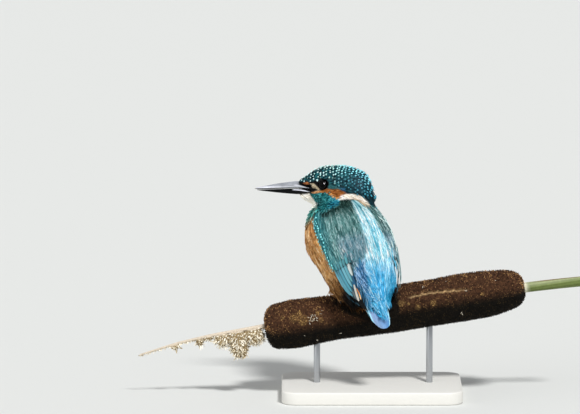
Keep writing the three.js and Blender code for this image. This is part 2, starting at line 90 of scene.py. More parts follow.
BODY = frame_matrix(Vector(BODY_PLACE) * MM, BODY_TURN, -BODY_PITCH)
PERCH = frame_matrix(Vector(PERCH_PLACE) * MM, 0, -PERCH_TILT)
head_turned = frame_matrix(Vector(), HEAD_TURN, HEAD_DIP)
between_eyes = (middle("eye_left") + middle("eye_right")) / 2
head_place = between_eyes - head_turned @ Vector((EYE_PLACE.x, 0, EYE_PLACE.z))
HEAD = frame_matrix(head_place, HEAD_TURN, HEAD_DIP)
print("head centre, mm:", [round(v / MM, 1) for v in head_place])


def local(points, matrix):
    """World points as rows of x, y and z in a local frame, in millimetres."""
    inverse = np.array(matrix.inverted())
    return (points @ inverse[:3, :3].T + inverse[:3, 3]).T


def world(points, matrix):
    turn = np.array(matrix)
    return np.asarray(points, float) @ turn[:3, :3].T + turn[:3, 3]


def unit(vectors):
    return vectors / np.maximum(np.linalg.norm(vectors, axis=-1, keepdims=True), 1e-12)


def axis(matrix, index):
    return np.array(matrix.col[index][:3]) / MM


# %% [markdown]
# ## Camera, floor and light
# A long lens from three metres away keeps the true proportions. The floor is plain and pale.
# One high soft sun gives the form, a weak one fills the far side, and the world's own light
# softens the rest, so that a colour renders about as it is written.

# %% Camera
VIEW_TARGET = Vector((-0.0508, 0.0, 0.1182))
VIEW_WIDTH, VIEW_DISTANCE, VIEW_RISE = 0.3596, 3.0, math.radians(8)

scene = bpy.context.scene
scene.view_settings.view_transform = "Standard"
camera = bpy.data.objects.new("camera", bpy.data.cameras.new("camera"))
scene.collection.objects.link(camera)
scene.camera = camera
away = Vector((0, -math.cos(VIEW_RISE), math.sin(VIEW_RISE)))
camera.location = VIEW_TARGET + away * VIEW_DISTANCE
camera.rotation_euler = (-away).to_track_quat("-Z", "Y").to_euler()
camera.data.sensor_width = 36
camera.data.lens = camera.data.sensor_width * VIEW_DISTANCE / VIEW_WIDTH
camera.data.clip_end = 50
print("lens, mm:", round(camera.data.lens))


# %% Helpers for new shapes and colours
def take(*objects):
    """Selects some objects alone, and makes the first one active."""
    bpy.ops.object.select_all(action="DESELECT")
    for obj in objects:
        obj.select_set(True)
    bpy.context.view_layer.objects.active = objects[0]
    return objects[0]


def new_shape(add_primitive, name, **settings):
    """A primitive mesh from the operator given, named and selected alone."""
    add_primitive(**settings)
    bpy.context.object.name = name
    return take(bpy.context.object)


def linear(code):
    """A #rrggbb colour as linear red, green and blue."""
    parts = np.array([int(code[i:i + 2], 16) / 255 for i in (1, 3, 5)])
    return np.where(parts <= 0.04045, parts / 12.92, ((parts + 0.055) / 1.055) ** 2.4)


def rgba(code):
    return (*linear(code), 1.0)


def new_material(name, roughness=0.5, **sockets):
    mat = bpy.data.materials.new(name)
    mat.use_nodes = True
    shader = mat.node_tree.nodes["Principled BSDF"]
    shader.inputs["Roughness"].default_value = roughness
    for key, value in sockets.items():
        shader.inputs[key.replace("_", " ")].default_value = value
    return mat, mat.node_tree, shader


# %% Floor, sun and sky
floor = new_shape(bpy.ops.mesh.primitive_plane_add, "floor", size=14.0)
floor.data.materials.append(new_material("floor_paint", 0.9, Base_Color=rgba("#dfe0dd"))[0])


def add_sun(name, turn, rise, strength, spread):
    lamp = bpy.data.lights.new(name, "SUN")
    lamp.energy = strength
    lamp.angle = math.radians(spread)
    obj = bpy.data.objects.new(name, lamp)
    scene.collection.objects.link(obj)
    a, e = math.radians(turn), math.radians(rise)
    towards = Vector((math.sin(a) * math.cos(e), -math.cos(a) * math.cos(e), math.sin(e)))
    obj.rotation_euler = towards.to_track_quat("Z", "Y").to_euler()


add_sun("key", turn=24, rise=50, strength=2.8, spread=10)
add_sun("fill", turn=-62, rise=12, strength=1.0, spread=60)
sky = bpy.data.worlds.new("sky")
sky.use_nodes = True
sky.node_tree.nodes["Background"].inputs["Color"].default_value = rgba("#eef1f4")
sky.node_tree.nodes["Background"].inputs["Strength"].default_value = 0.4
scene.world = sky


# %% [markdown]
# ## Materials
# Every finish is a Principled shader with its colour, roughness and bump from nodes. Two
# kinds of fine detail are used many times, so they are shader groups: the barbs of a feather,
# which follow its own length, and the grain of skin, horn, plants and paint.

# %% Node helpers
def add_node(tree, kind, sockets=None, **settings):
    made = tree.nodes.new(kind)
    for key, value in settings.items():
        setattr(made, key, value)
    for key, value in (sockets or {}).items():
        made.inputs[key].default_value = value
    return made


def wire(tree, *links):
    """Links given as (node, its output, other node, that one's input)."""
    for source, output, target, socket in links:
        tree.links.new(source.outputs[output], target.inputs[socket])


def new_group(name, inputs, outputs):
    """A shader group with float inputs given as {name: start value} and float outputs."""
    group = bpy.data.node_groups.new(name, "ShaderNodeTree")
    for key, value in inputs.items():
        kind = "NodeSocketVector" if value is None else "NodeSocketFloat"
        socket = group.interface.new_socket(key, in_out="INPUT", socket_type=kind)
        if value is not None:
            socket.default_value = value
    for key in outputs:
        group.interface.new_socket(key, in_out="OUTPUT", socket_type="NodeSocketFloat")
    return group, group.nodes.new("NodeGroupInput"), group.nodes.new("NodeGroupOutput")


# %% The barbs of a feather and the grain of the rest, as groups
def barb_group():
    group, start, end = new_group("barbs", {"Fineness": 9.0}, ["Streak", "Height"])
    vane = add_node(group, "ShaderNodeUVMap", uv_map="vane")
    who = add_node(group, "ShaderNodeAttribute", attribute_name="chance")
    apart = add_node(group, "ShaderNodeSeparateXYZ")
    across, along, own = (add_node(group, "ShaderNodeMath", {1: times}, operation="MULTIPLY")
                          for times in (1.0, 2.2, 91.0))
    spot = add_node(group, "ShaderNodeCombineXYZ")
    noise = add_node(group, "ShaderNodeTexNoise", {"Scale": 1.0, "Detail": 2.0})
    spread = add_node(group, "ShaderNodeMapRange", {1: 0.3, 2: 0.7})
    wire(group, (vane, 0, apart, 0), (apart, 0, across, 0), (start, "Fineness", across, 1),
         (apart, 1, along, 0), (who, "Fac", own, 0), (across, 0, spot, 0), (along, 0, spot, 1),
         (own, 0, spot, 2), (spot, 0, noise, "Vector"), (noise, 0, spread, 0),
         (spread, 0, end, "Streak"), (noise, 0, end, "Height"))
    return group


def grain_group():
    inputs = {"Vector": None, "Scale": 800.0}
    group, start, end = new_group("grain", inputs, ["Grain", "Cloud", "Scutes"])
    fine = add_node(group, "ShaderNodeTexNoise", {"Detail": 4.0, "Roughness": 0.6})
    coarse = add_node(group, "ShaderNodeTexNoise", {"Detail": 3.0})
    slower = add_node(group, "ShaderNodeMath", {1: 0.14}, operation="MULTIPLY")
    cells = add_node(group, "ShaderNodeTexVoronoi")
    wire(group, (start, "Scale", slower, 0), (slower, 0, coarse, "Scale"), (start, "Scale", fine, "Scale"),
         (start, "Scale", cells, "Scale"), (cells, "Distance", end, "Scutes"))
    for noise, name in ((fine, "Grain"), (coarse, "Cloud")):
        spread = add_node(group, "ShaderNodeMapRange", {1: 0.3, 2: 0.7})
        wire(group, (noise, 0, spread, 0), (spread, 0, end, name))
    for texture in (fine, coarse, cells):
        wire(group, (start, "Vector", texture, "Vector"))
    return group


BARBS, GRAIN = barb_group(), grain_group()


def barbs(fineness=9.0):
    """A way of adding the barbs to a material."""
    def add(tree):
        detail = add_node(tree, "ShaderNodeGroup", node_tree=BARBS)
        detail.inputs["Fineness"].default_value = fineness
        return detail
    return add


def grain(scale, stretch=1.0):
    """A way of adding the grain to a material, at its object's own places."""
    def add(tree):
        place = add_node(tree, "ShaderNodeTexCoord")
        turned = add_node(tree, "ShaderNodeMapping", {"Scale": (1, 1, stretch)})
        detail = add_node(tree, "ShaderNodeGroup", node_tree=GRAIN)
        detail.inputs["Scale"].default_value = scale
        wire(tree, (place, "Object", turned, "Vector"), (turned, 0, detail, "Vector"))
        return detail
    return add


# %% The finish of most pieces
def finish(name, roughness, add_detail, colour_by, levels, relief_by, bump, depth, shine=0.0, **sockets):
    """A material that reads its piece's own colour. One output of the detail varies the colour
    between two levels, one is its relief, and with shine the grain also varies the roughness."""
    mat, tree, shader = new_material(name, roughness, **sockets)
    detail = add_detail(tree)
    own = add_node(tree, "ShaderNodeAttribute", attribute_name="marking")
    level = add_node(tree, "ShaderNodeMapRange", {3: levels[0], 4: levels[1]})
    tinted = add_node(tree, "ShaderNodeVectorMath", operation="SCALE")
    relief = add_node(tree, "ShaderNodeBump", {"Strength": bump, "Distance": depth * MM})
    wire(tree, (detail, colour_by, level, 0), (own, "Color", tinted, 0), (level, 0, tinted, "Scale"),
         (tinted, 0, shader, "Base Color"), (detail, relief_by, relief, "Height"),
         (relief, 0, shader, "Normal"))
    if shine:
        rough = add_node(tree, "ShaderNodeMapRange", {3: roughness * 0.8, 4: roughness * shine})
        wire(tree, (detail, "Grain", rough, 0), (rough, 0, shader, "Roughness"))
    return mat


def feather(name, roughness, streak, bump, specular, fineness=9.0):
    return finish(name, roughness, barbs(fineness), "Streak", (1 - streak, 1 + streak), "Height", bump, 0.2,
                  Specular_IOR_Level=specular)


SOFT_FEATHER = feather("soft_feather", 0.62, 0.3, 0.35, 0.1)
SLEEK_FEATHER = feather("sleek_feather", 0.5, 0.26, 0.3, 0.18)
BRIGHT_FEATHER = feather("bright_feather", 0.42, 0.3, 0.3, 0.25)
FLIGHT_FEATHER = feather("flight_feather", 0.45, 0.18, 0.25, 0.25, fineness=26.0)


# %% [markdown]
# ## The markings
# The pattern of a kingfisher is written once, as a function of place. Some regions in it are
# painted shade: a dark fold along the front of the wing and under the cheek, a nearly black gap
# beside the tail, the vent, the underside of the tail and the low flank. The palest tones of the
# back and rump are partly painted highlights. Outlines on the head are drawn in its side view,
# x to the bill and z up, and hold for both sides. Outlines on the body are drawn along its length
# and round it. The skin and every feather are coloured by it.

# %% Curves and outlines
def smooth(low, high, x):
    t = np.clip((x - low) / (high - low), 0, 1)
    return t * t * (3 - 2 * t)


def over(distance, blur=0.6):
    """1 where a signed distance is above zero, 0 below it, softened over the border."""
    return smooth(-blur, blur, distance)


def line(x, points):
    """A broken line's height over x, from (x, height) points in any order."""
    xs, ys = zip(*sorted(points))
    return np.interp(x, xs, ys)


def inside(x, y, outline, blur=0.4):
    """1 inside a closed outline and 0 outside it, softened over the border."""
    start = np.array(outline, float)
    edge = np.roll(start, -1, 0) - start
    place = np.stack([x, y], -1)[:, None]
    share = ((place - start) * edge).sum(-1) / (edge ** 2).sum(-1)
    near = start + np.clip(share, 0, 1)[..., None] * edge
    distance = np.linalg.norm(place - near, axis=-1).min(1)
    end_y = start[:, 1] + edge[:, 1]
    spans = (start[:, 1] > y[:, None]) != (end_y > y[:, None])
    slope = edge[:, 0] / np.where(edge[:, 1] == 0, 1e-9, edge[:, 1])
    left = x[:, None] < start[:, 0] + slope * (y[:, None] - start[:, 1])
    odd = (spans & left).sum(1) % 2
    return over(np.where(odd, distance, -distance), blur)


def blend(colours, target, share):
    """Moves colours towards a target by a share from 0 to 1."""
    return colours + (target - colours) * share[:, None]


# %% The palette: each finish from its dark to its light feathers
PALETTE = {
    "flank": ("#7a4a1c", "#c99157", "#f6d6a4"),
    "belly": ("#84501f", "#c4864a", "#e4b07a"),
    "flank_mid": ("#a0682d", "#f0bc7a", "#fff0cc"),
    # Painted shade: the flank darker low down, towards the tail.
    "flank_low_painted_shade": ("#573818", "#9a6d3c", "#e6b880"),
    # Painted shade: the vent and the underside of the tail, orange-brown on the bird, are nearly black here.
    "vent_painted_shade": ("#120a05", "#22150b", "#40280f"),
    "under_tail_painted_shade": ("#070605", "#0d0b09", "#17120d"),
    "side_patch": ("#1f8c86", "#50c2ba", "#baf8ee"),
    "mantle": ("#33605f", "#6a9c9a", "#b2d0d0"),
    "mantle_top": ("#142d28", "#284a44", "#52736b"),
    "wing_sheen": ("#264c4a", "#597f7e", "#bedada"),
    "wing_edge": ("#17636a", "#338890", "#74babb"),
    "lilac": ("#4d7f92", "#7e9fb0", "#b3bfcb"),
    # The palest, near-white tones of the back and of the rump are partly painted highlights of their gloss.
    "stripe": ("#66c4da", "#c6f0f7", "#ffffff"),
    "stripe_top": ("#1c7584", "#5aacbb", "#c8eef2"),
    # Painted shade: nearly black beside the root of the tail.
    "painted_gap_shade": ("#040506", "#0a0d10", "#14191e"),
    # Painted shade: a dark line along the front edge of the folded wing and under the cheek.
    "painted_fold_shade": ("#04100f", "#0b2523", "#1c4a48"),
    "rump": ("#1c9acb", "#56c9f2", "#d4f6ff"),
    "rump_right": ("#0b7ca6", "#2696c2", "#84d4ec"),
    "rump_left": ("#215a87", "#5a97c3", "#acd0ee"),
    "crown": ("#05252c", "#0b3c45", "#1d666d"),
    "back_of_head": ("#05262c", "#0f4446", "#28706e"),
    "nape": ("#04222b", "#0a3844", "#195664"),
    "cheek": ("#1b4449", "#2f6467", "#557f80"),
    "indigo": ("#15384f", "#27557a", "#41789a"),
    "malar": ("#05403f", "#187377", "#4aa7aa"),
    "malar_blue": ("#06485f", "#167c9a", "#54b4c6"),
    "ear": ("#7a451c", "#b8743a", "#dfa566"),
    "patch": ("#efdfc4", "#fffaf2", "#ffffff"),
    "patch_rim": ("#a8713b", "#cf9a62", "#ecc695"),
    "throat": ("#f4ead8", "#fffaf0", "#ffffff"),
    "lore": ("#040505", "#090b0c", "#101415"),
    "loral_spot": ("#6f3a1a", "#9a5a30", "#b97a4a"),
    "loral_streak": ("#8f7a5e", "#c4b496", "#e2d8c0"),
    "gape": ("#b5743e", "#e0a06a", "#f0c090"),
    "velvet": ("#1a0f09", "#573a27", "#c99b64"),
    # Painted shade: the velvet nearly black underneath and in the bird's shadow.
    "velvet_in_shade": ("#040403", "#0e0d08", "#332a1a"),
    "straw": ("#a48e68", "#e0d3b6", "#fff8e8"),
}
TONES = {name: np.array([linear(code) for code in codes]) for name, codes in PALETTE.items()}


def shade(name, tone):
    """A palette finish from dark, at tone 0, to light, at tone 1."""
    dark, plain, light = TONES[name]
    t = tone[:, None]
    low = dark + (plain - dark) * np.clip(t * 2, 0, 1)
    return low + (light - plain) * np.clip(t * 2 - 1, 0, 1)


# %% Lines and outlines on the head, x to the bill and z up, in millimetres
SKIRT = [(-24, -13.5), (-20, -10.6), (-15.3, -7.9), (-11, -6.1), (-6.5, -5.8), (-3.2, -6.2),
         (-2.9, -9.2), (2.3, -11.2), (5.4, -12.8), (9, -12.8), (11.5, -11.4), (27, -11.4)]
CROWN_EDGE = [(-22, -11.5), (-20, -10), (-15.5, -5.6), (-11, -3.8), (-6.3, -3.2), (-5.5, 0.5), (2, 2),
              (5.5, 4.8), (8, 6.0), (13, 4.2), (17, 3.8), (21.5, 3.6), (26, 1.5)]
MALAR = [(18.2, -3.2), (11.2, -2.6), (6.8, -2), (3, -3.9), (-1.8, -6), (-3.4, -6.6), (-3.4, -14),
         (5.4, -19), (9.8, -13.4), (12.6, -10.2), (14.6, -8.1), (16, -5.8)]
MALAR_TOP = [(18, -3.2), (11.2, -2.6), (6.8, -2), (3, -3.9), (-1.8, -6), (-24, -6)]
OUTLINES = {  # how far each is softened, and its corners
    "ear": (0.4, [(11.4, -1.4), (6.2, 0.1), (2.5, -0.2), (-1.2, 0), (-5, -1.6), (-6.8, -2.9), (-3.6, -3.9),
                  (-2.2, -6.4), (0.2, -5.4), (3, -4), (6.8, -2.2), (11.2, -2.6)]),
    "patch_rim": (0.5, [(-14.5, -6.7), (-17.8, -8.8), (-19.9, -10.8), (-19.2, -10.9), (-15.2, -7.9),
                        (-11, -6.3), (-9, -6.1), (-9, -5.7), (-11, -5.7)]),
    "patch": (0.4, [(-2.3, -6.3), (-3.3, -3.9), (-6.2, -3), (-11, -3.4), (-15.5, -5.1), (-18.6, -8.3),
                    (-20.4, -10.6), (-19.6, -10.4), (-15.4, -7.3), (-11.2, -5.9), (-6.5, -6)]),
    "lore": (0.3, [(27, 3.4), (21.5, 4.2), (17, 4.4), (13, 4.8), (12.2, 5.4), (9, 6.3), (5.4, 5.2),
                   (4.4, 2.6), (5.6, 0.4), (9, -0.6), (12, -0.7), (17.3, -3), (27, -4.2)]),
    "gape": (0.3, [(17.5, -2.7), (11.6, -1.1), (10.6, -2.6), (14, -3.2)]),
    "loral_spot": (0.3, [(22.2, 3.1), (20.6, 4.2), (17.6, 4.1), (17.8, 2.3), (21, 2.2)]),
    "loral_streak": (0.3, [(17.2, 3), (14.6, 3.2), (12.8, 1.6), (11.2, 0.2), (10.6, -1.2), (12.2, -0.9),
                           (13.6, 0.4), (15.4, 0.5)]),
}
PATCH_END, HEAD_END = 11.0, -23.8

# %% Lines and outlines on the body, x forward along it
STRIPE_LEFT = [(34, 1.8), (23, 1.6), (13.3, 3.4), (1, 4.6), (-6.5, 4.4), (-13, 4.4), (-17, 6.4), (-20, 10),
               (-26, 15.5), (-33, 14), (-38, 11.0), (-43, 9.6), (-47, 8.6), (-60, 6)]
STRIPE_RIGHT = [(34, -4.2), (23.5, -5.2), (12.1, -6.6), (5.1, -7.6), (-1.3, -9), (-6.8, -11.2),
                (-13.4, -12.8), (-19, -15), (-24, -16.8), (-30, -17), (-40, -14)]
WING_LOW = [(36, 38), (26, 35), (24, 31), (22.5, 24), (20, 18.5), (12, 18), (3.5, 20), (-4.5, 18),
            (-13.4, 18), (-20, 22), (-31, 25), (-45, 28)]
SIDE_PATCH = [(36, -24), (36, 40), (25, 38), (21.5, 24), (19.5, 8), (22, -12), (28, -24)]


# %% The pattern as a function of place
def whereabouts(points):
    """Where points are on the head's axes and the body's, in degrees round the body, and how far
    on the head: 1 on it, and 0 on the neck and body. The cheek hangs over the shoulder."""
    hx, hy, hz = local(points, HEAD)
    bx, by, bz = local(points, BODY)
    side, around = np.abs(hy), np.degrees(np.arctan2(bz - 1, np.abs(by)))
    reach = 21.5 + 5 * smooth(-3, 1, hx) * smooth(14, 9, hx)
    head = over(hz - line(hx, SKIRT), 0.8) * over(reach - side, 1.5) * over(bx - 14, 3)
    head = head * over(hx - HEAD_END, 0.8)
    return SimpleNamespace(hx=hx, hy=hy, hz=hz, bx=bx, by=by, bz=bz, side=side, around=around, head=head)


def regions(at):
    """Names and shares of the markings, in the order they are painted."""
    hx, hz, side, bx, by, around, head = at.hx, at.hz, at.side, at.bx, at.by, at.around, at.head
    edge = around - line(bx, WING_LOW)
    left, right = line(bx, STRIPE_LEFT), line(bx, STRIPE_RIGHT)
    near_neck = over(23 - side, 1.5) * over(PATCH_END + np.sign(at.hy) * by, 1.5)
    stripe = over(np.minimum(left - by, by - right), 1.3) * over(at.bz - 3, 2)
    behind = smooth(-16, -32, bx)
    leftward = smooth(5, 9.5, by) * smooth(-13, -24, bx)
    rightward = smooth(-1, -8, by) * smooth(-19, -33, bx)
    wing = over(edge, 1.5) * smooth(-41, -36, bx)
    malar = inside(hx, hz, MALAR, 0.5)
    under_malar = over(hz - line(hx, MALAR_TOP), 0.5)
    crown = over(hz - line(hx, CROWN_EDGE), 0.6)
    # A band of painted shade under the cheek, where it hangs over the shoulder.
    shade_under_cheek = smooth(1.5, 0.6, np.abs(line(hx, SKIRT) - hz - 1.5)) * smooth(-4, -1, hx)
    shade_under_cheek *= smooth(9, 6, hx) * over(side - 18, 2) * over(bx - 14, 3)
    beside_tail = np.maximum(1 - stripe, smooth(-36, -40, bx) * smooth(46, 42, around))
    shares = {
        "belly": smooth(-20, -50, around),
        "flank_mid": smooth(10, 0, bx) * smooth(-45, -25, around),
        # Painted shade low on the flank.
        "flank_low_painted_shade": smooth(-13, -23, bx) * smooth(-60, -40, around),
        # Painted shade on the vent and under the tail.
        "vent_painted_shade": smooth(-26, -31, bx) * smooth(-105, -50, around) * smooth(-9, -3, by),
        "under_tail_painted_shade": smooth(-31, -35, bx) * smooth(-60, -30, around) * smooth(2, 5, by),
        "side_patch": inside(bx, around, SIDE_PATCH, 2.5),
        "mantle": wing,
        "mantle_top": wing * smooth(8, 22, bx),
        "wing_sheen": wing * smooth(-8, -12, by) * smooth(14, 22, edge) * smooth(-16, -6, bx),
        "wing_edge": wing * smooth(24, 4, edge),
        "lilac": wing * smooth(20, 30, edge) * smooth(2, -8, bx) * 0.7,
        # Painted shade along the front edge of the wing and under the cheek.
        "painted_fold_shade": np.maximum(smooth(3.5, 1.2, np.abs(edge + 1)) * smooth(17, 20, bx), shade_under_cheek),
        "stripe": stripe,
        "stripe_top": stripe * smooth(6, 20, bx),
        "rump": stripe * behind,
        "rump_right": stripe * rightward,
        "rump_left": stripe * leftward,
        # Painted shade beside the root of the tail.
        "painted_gap_shade": beside_tail * smooth(-30, -34, bx) * smooth(0, 18, around) * smooth(5, 7, by),
        "back_of_head": head * smooth(-1, -5, hx),
        "throat": head * smooth(-5, -1, hx) * (1 - malar),
        "malar": malar * head,
        "malar_blue": malar * smooth(6, -1, hx) * head,
        "cheek": under_malar * over(17 - hx) * head,
        "indigo": under_malar * smooth(0, -6, hx) * head,
        "crown": crown * head,
        "nape": crown * smooth(-6, -15, hx) * head,
    }
    for name, (blur, outline) in OUTLINES.items():
        shares[name] = inside(hx, hz, outline, blur) * (near_neck if "patch" in name else head)
    return shares


def marking(points, tone):
    """Linear colours of the plumage at world points, each from dark, 0, to light, 1."""
    colours = shade("flank", tone)
    for name, share in regions(whereabouts(points)).items():
        colours = blend(colours, shade(name, tone), share)
    return colours


# %% [markdown]
# ## One skin
# The head, neck, trunk, folded wings and legs are separate solids. On the bird they are one
# animal, so copies of them are joined, swelled to close the thin cuts, and remeshed into one
# even surface. It is then smoothed and drawn in by the depth of the coat that will cover it.

# %% Helpers for joining and editing meshes
@contextmanager
def editing():
    """Edit mode on the active object, with everything selected."""
    bpy.ops.object.mode_set(mode="EDIT")
    bpy.ops.mesh.select_all(action="SELECT")
    yield
    bpy.ops.object.mode_set(mode="OBJECT")


def joined(name, *parts):
    take(*parts)
    if len(parts) > 1:
        bpy.ops.object.join()
    parts[0].name = name
    return parts[0]


def merged_copy(nodes, name):
    """One object with copies of several solids, their loose triangles merged."""
    copies = []
    for node in nodes:
        copy = frame["nodes"][node].copy()
        copy.data = copy.data.copy()
        copy.parent = None
        for key in list(copy.keys()):
            del copy[key]
        scene.collection.objects.link(copy)
        copies.append(copy)
    merged = joined(name, *copies[::-1])
    merged.data.materials.clear()
    with editing():
        bpy.ops.mesh.remove_doubles(threshold=0.01 * MM)
        bpy.ops.mesh.customdata_custom_splitnormals_clear()
    return merged


def swell(obj, distance):
    take(obj)
    with editing():
        bpy.ops.transform.shrink_fatten(value=distance * MM)


def apply_modifier(obj, kind, **settings):
    take(obj)
    modifier = obj.modifiers.new(kind.lower(), kind)
    for key, value in settings.items():
        setattr(modifier, key, value)
    bpy.ops.object.modifier_apply(modifier=modifier.name)
    return obj


def keep_largest(obj):
    """Deletes the small closed pockets that a remesh can leave inside."""
    take(obj)
    name = obj.name
    with editing():
        bpy.ops.mesh.separate(type="LOOSE")
    shells = sorted(bpy.context.selected_objects, key=lambda o: -len(o.data.vertices))
    for shell in shells[1:]:
        bpy.data.objects.remove(shell)
    shells[0].name = name
    return shells[0]


def evened(obj, voxel, rounds, one_shell=True):
    """A shape remeshed into even small faces and smoothed."""
    apply_modifier(obj, "REMESH", mode="VOXEL", voxel_size=voxel)
    obj = keep_largest(obj) if one_shell else obj
    return apply_modifier(obj, "SMOOTH", factor=0.5, iterations=rounds)


# %% Copies of the solids, joined and remeshed
FLESH = ["trunk", "neck", "head", "wing_left", "wing_right"]
FEET = [f"{part}_{side}" for part in ("leg", "foot") for side, _ in SIDES]
CUT_SWELL, FOOT_SWELL = 0.3, 0.12
VOXEL = 0.5 * MM

flesh = merged_copy(FLESH, "flesh")
swell(flesh, CUT_SWELL)
flesh = evened(flesh, VOXEL, 60)
print("flesh vertices:", len(flesh.data.vertices))


# %% [markdown]
# The coat is deep on the belly and the rump, thinner on the wings and very thin on the face.
# A vertex group holds that depth, and a Displace modifier draws the surface in by it.

# %% Draw the surface in by the depth of the coat
DEEPEST_COAT = 2.2


def mesh_points(obj):
    points = np.empty(len(obj.data.vertices) * 3)
    obj.data.vertices.foreach_get("co", points)
    return points.reshape(-1, 3)


def move_points(obj, points):
    obj.data.vertices.foreach_set("co", points.ravel())
    obj.data.update()


def facts(points):
    """The markings at world points, and where the points are."""
    at = whereabouts(points)
    return regions(at), at


def coat_depth(points):
    """The depth of the coat at world points, in millimetres."""
    share, at = facts(points)
    bx, around = at.bx, at.around
    near_head = smooth(30, 22, np.sqrt(at.hx ** 2 + at.hy ** 2 + at.hz ** 2))
    depth = np.full(len(points), DEEPEST_COAT)
    for value, where in (
            (1.1, share["mantle"]), (1.7, share["stripe"]),
            (0.5, smooth(-62, -50, around) * smooth(28, 20, around) * smooth(-8, 6, bx)),
            (0.7, smooth(8, 20, around) * smooth(64, 52, around) * smooth(-12, -18, bx)),
            (1.3, near_head), (0.55, near_head * smooth(2, 14, at.hx))):
        depth += (value - depth) * where
    return depth


def draw_in(obj, depths, deepest):
    group = obj.vertex_groups.new(name="depth")
    for index, depth in enumerate(depths):
        group.add([index], min(1.0, depth / deepest), "REPLACE")
    apply_modifier(obj, "DISPLACE", vertex_group="depth", mid_level=0, strength=-deepest * MM)
    obj.vertex_groups.clear()


draw_in(flesh, coat_depth(mesh_points(flesh)), DEEPEST_COAT)
feet = merged_copy(FEET, "feet")
swell(feet, FOOT_SWELL)
skin = joined("skin", flesh, feet)

# %% [markdown]
# The smoothing has blunted the face, so its front is drawn out again over and under the bill,
# and pinched in where the wide base of the bill comes out of it. The right shoulder, turned
# away, is held in closer to the body than the left one. A last fine remesh evens it all.

# %% The face and the right shoulder
FACE_DRAWN, BACK_PRESSED, PINCH = 2.2, 1.8, 0.45
HELD_IN = [(-24, 0), (-16, 1.0), (-5, 1.6), (0, 2.0), (7, 2.7), (14, 3.3), (19, 3.1), (26, 1.8), (32, 0)]


def shape_face(obj):
    points = mesh_points(obj)
    at = whereabouts(points)
    hx, hz = at.hx, at.hz
    pinched = smooth(-5.2, -4.2, hz) * smooth(2.6, 1.2, hz) * smooth(15.5, 18, hx)
    drawn = FACE_DRAWN * smooth(15, 24, hx) * smooth(-9, -3, hz) * over(at.bx - 20, 4) * (1 - pinched)
    drawn *= smooth(9, 3.5, hz)
    points -= (PINCH * at.hy * pinched * MM)[:, None] * axis(HEAD, 1)
    pressed = BACK_PRESSED * smooth(-15, -22, hx) * smooth(-8, -2, hz) * smooth(9, 4, hz)
    move_points(obj, points + ((drawn + pressed) * MM)[:, None] * axis(HEAD, 0))


def hold_shoulder_in(obj):
    points = mesh_points(obj)
    at = whereabouts(points)
    inwards = line(at.bx, HELD_IN) * smooth(-9, -18, at.by) * smooth(-2, 8, at.bz) * (1 - at.head)
    move_points(obj, points + (inwards * MM)[:, None] * axis(BODY, 1))


shape_face(skin)
hold_shoulder_in(skin)
skin = evened(skin, VOXEL, 6)


# %% Trees for finding the nearest place on a surface
def surface_tree(*objects):
    vertices, faces = [], []
    for obj in objects:
        start = len(vertices)
        vertices += [v.co.copy() for v in obj.data.vertices]
        faces += [[start + i for i in p.vertices] for p in obj.data.polygons]
    return BVHTree.FromPolygons(vertices, faces)


skin_tree = surface_tree(skin)
foot_tree = surface_tree(*[frame["nodes"][n] for n in FEET])


def settle(points, tree=skin_tree):
    """The nearest places on a surface, and the way out of it there."""
    found = [tree.find_nearest(p) for p in points]
    return np.array([f[0][:] for f in found]), np.array([f[1][:] for f in found])


# %% Colour the skin
FOOT_RED = linear("#b5532f")
SKIN_TONE, UNDER_COAT = 0.25, 0.8
PERCH_REACH = 30


def paint(obj, colours):
    """Gives each vertex its colour."""
    layer = obj.data.attributes.new("marking", "FLOAT_COLOR", "POINT")
    layer.data.foreach_set("color", np.c_[colours, np.ones(len(colours))].ravel())


def finished(piece, mat, slot, *nodes, crease=None):
    """Gives a piece its material, hangs it on the body's empty, and hides the solids it stands for.
    It is shaded smooth, apart from edges sharper than the crease in degrees."""
    take(piece)
    print(f"{piece.name}:", sum(len(p.vertices) - 2 for p in piece.data.polygons), "triangles")
    if crease:
        bpy.ops.object.shade_smooth_by_angle(angle=math.radians(crease))
    else:
        bpy.ops.object.shade_smooth()
    piece.data.materials.append(mat)
    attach(piece, BODY_NAME)
    if nodes:
        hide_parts(*nodes)


skin_points = mesh_points(skin)
near_perch = np.hypot(*local(skin_points, PERCH)[1:]) < PERCH_REACH
of_foot = np.zeros(len(skin_points))
of_foot[near_perch] = [smooth(1.1, 0.5, foot_tree.find_nearest(p)[3] / MM) for p in skin_points[near_perch]]
skin_colours = marking(skin_points, np.full(len(skin_points), SKIN_TONE)) * UNDER_COAT
paint(skin, blend(skin_colours, FOOT_RED, of_foot))
SKIN = finish("skin", 0.65, grain(900.0), "Grain", (0.82, 1.15), "Scutes", 0.5, 0.3, Specular_IOR_Level=0.15)
finished(skin, SKIN, "body_plumage", *FLESH, *FEET)


# %% [markdown]
# ## The lie of the coat
# Feathers point from the bill to the nape on the head, and from the shoulders to the tail on
# the body. The two directions melt into each other on the neck. A feather is laid by walking
# along the skin in that direction in short steps, and rising a little with each step, so its
# root is hidden under others and its tip shows.

# %% The direction of the coat
NARROWING = 0.045
PERCH_RADIUS, PERCH_HALF = 15.1, 82
WALK_STEPS, END_SLOPE = 4, 0.6


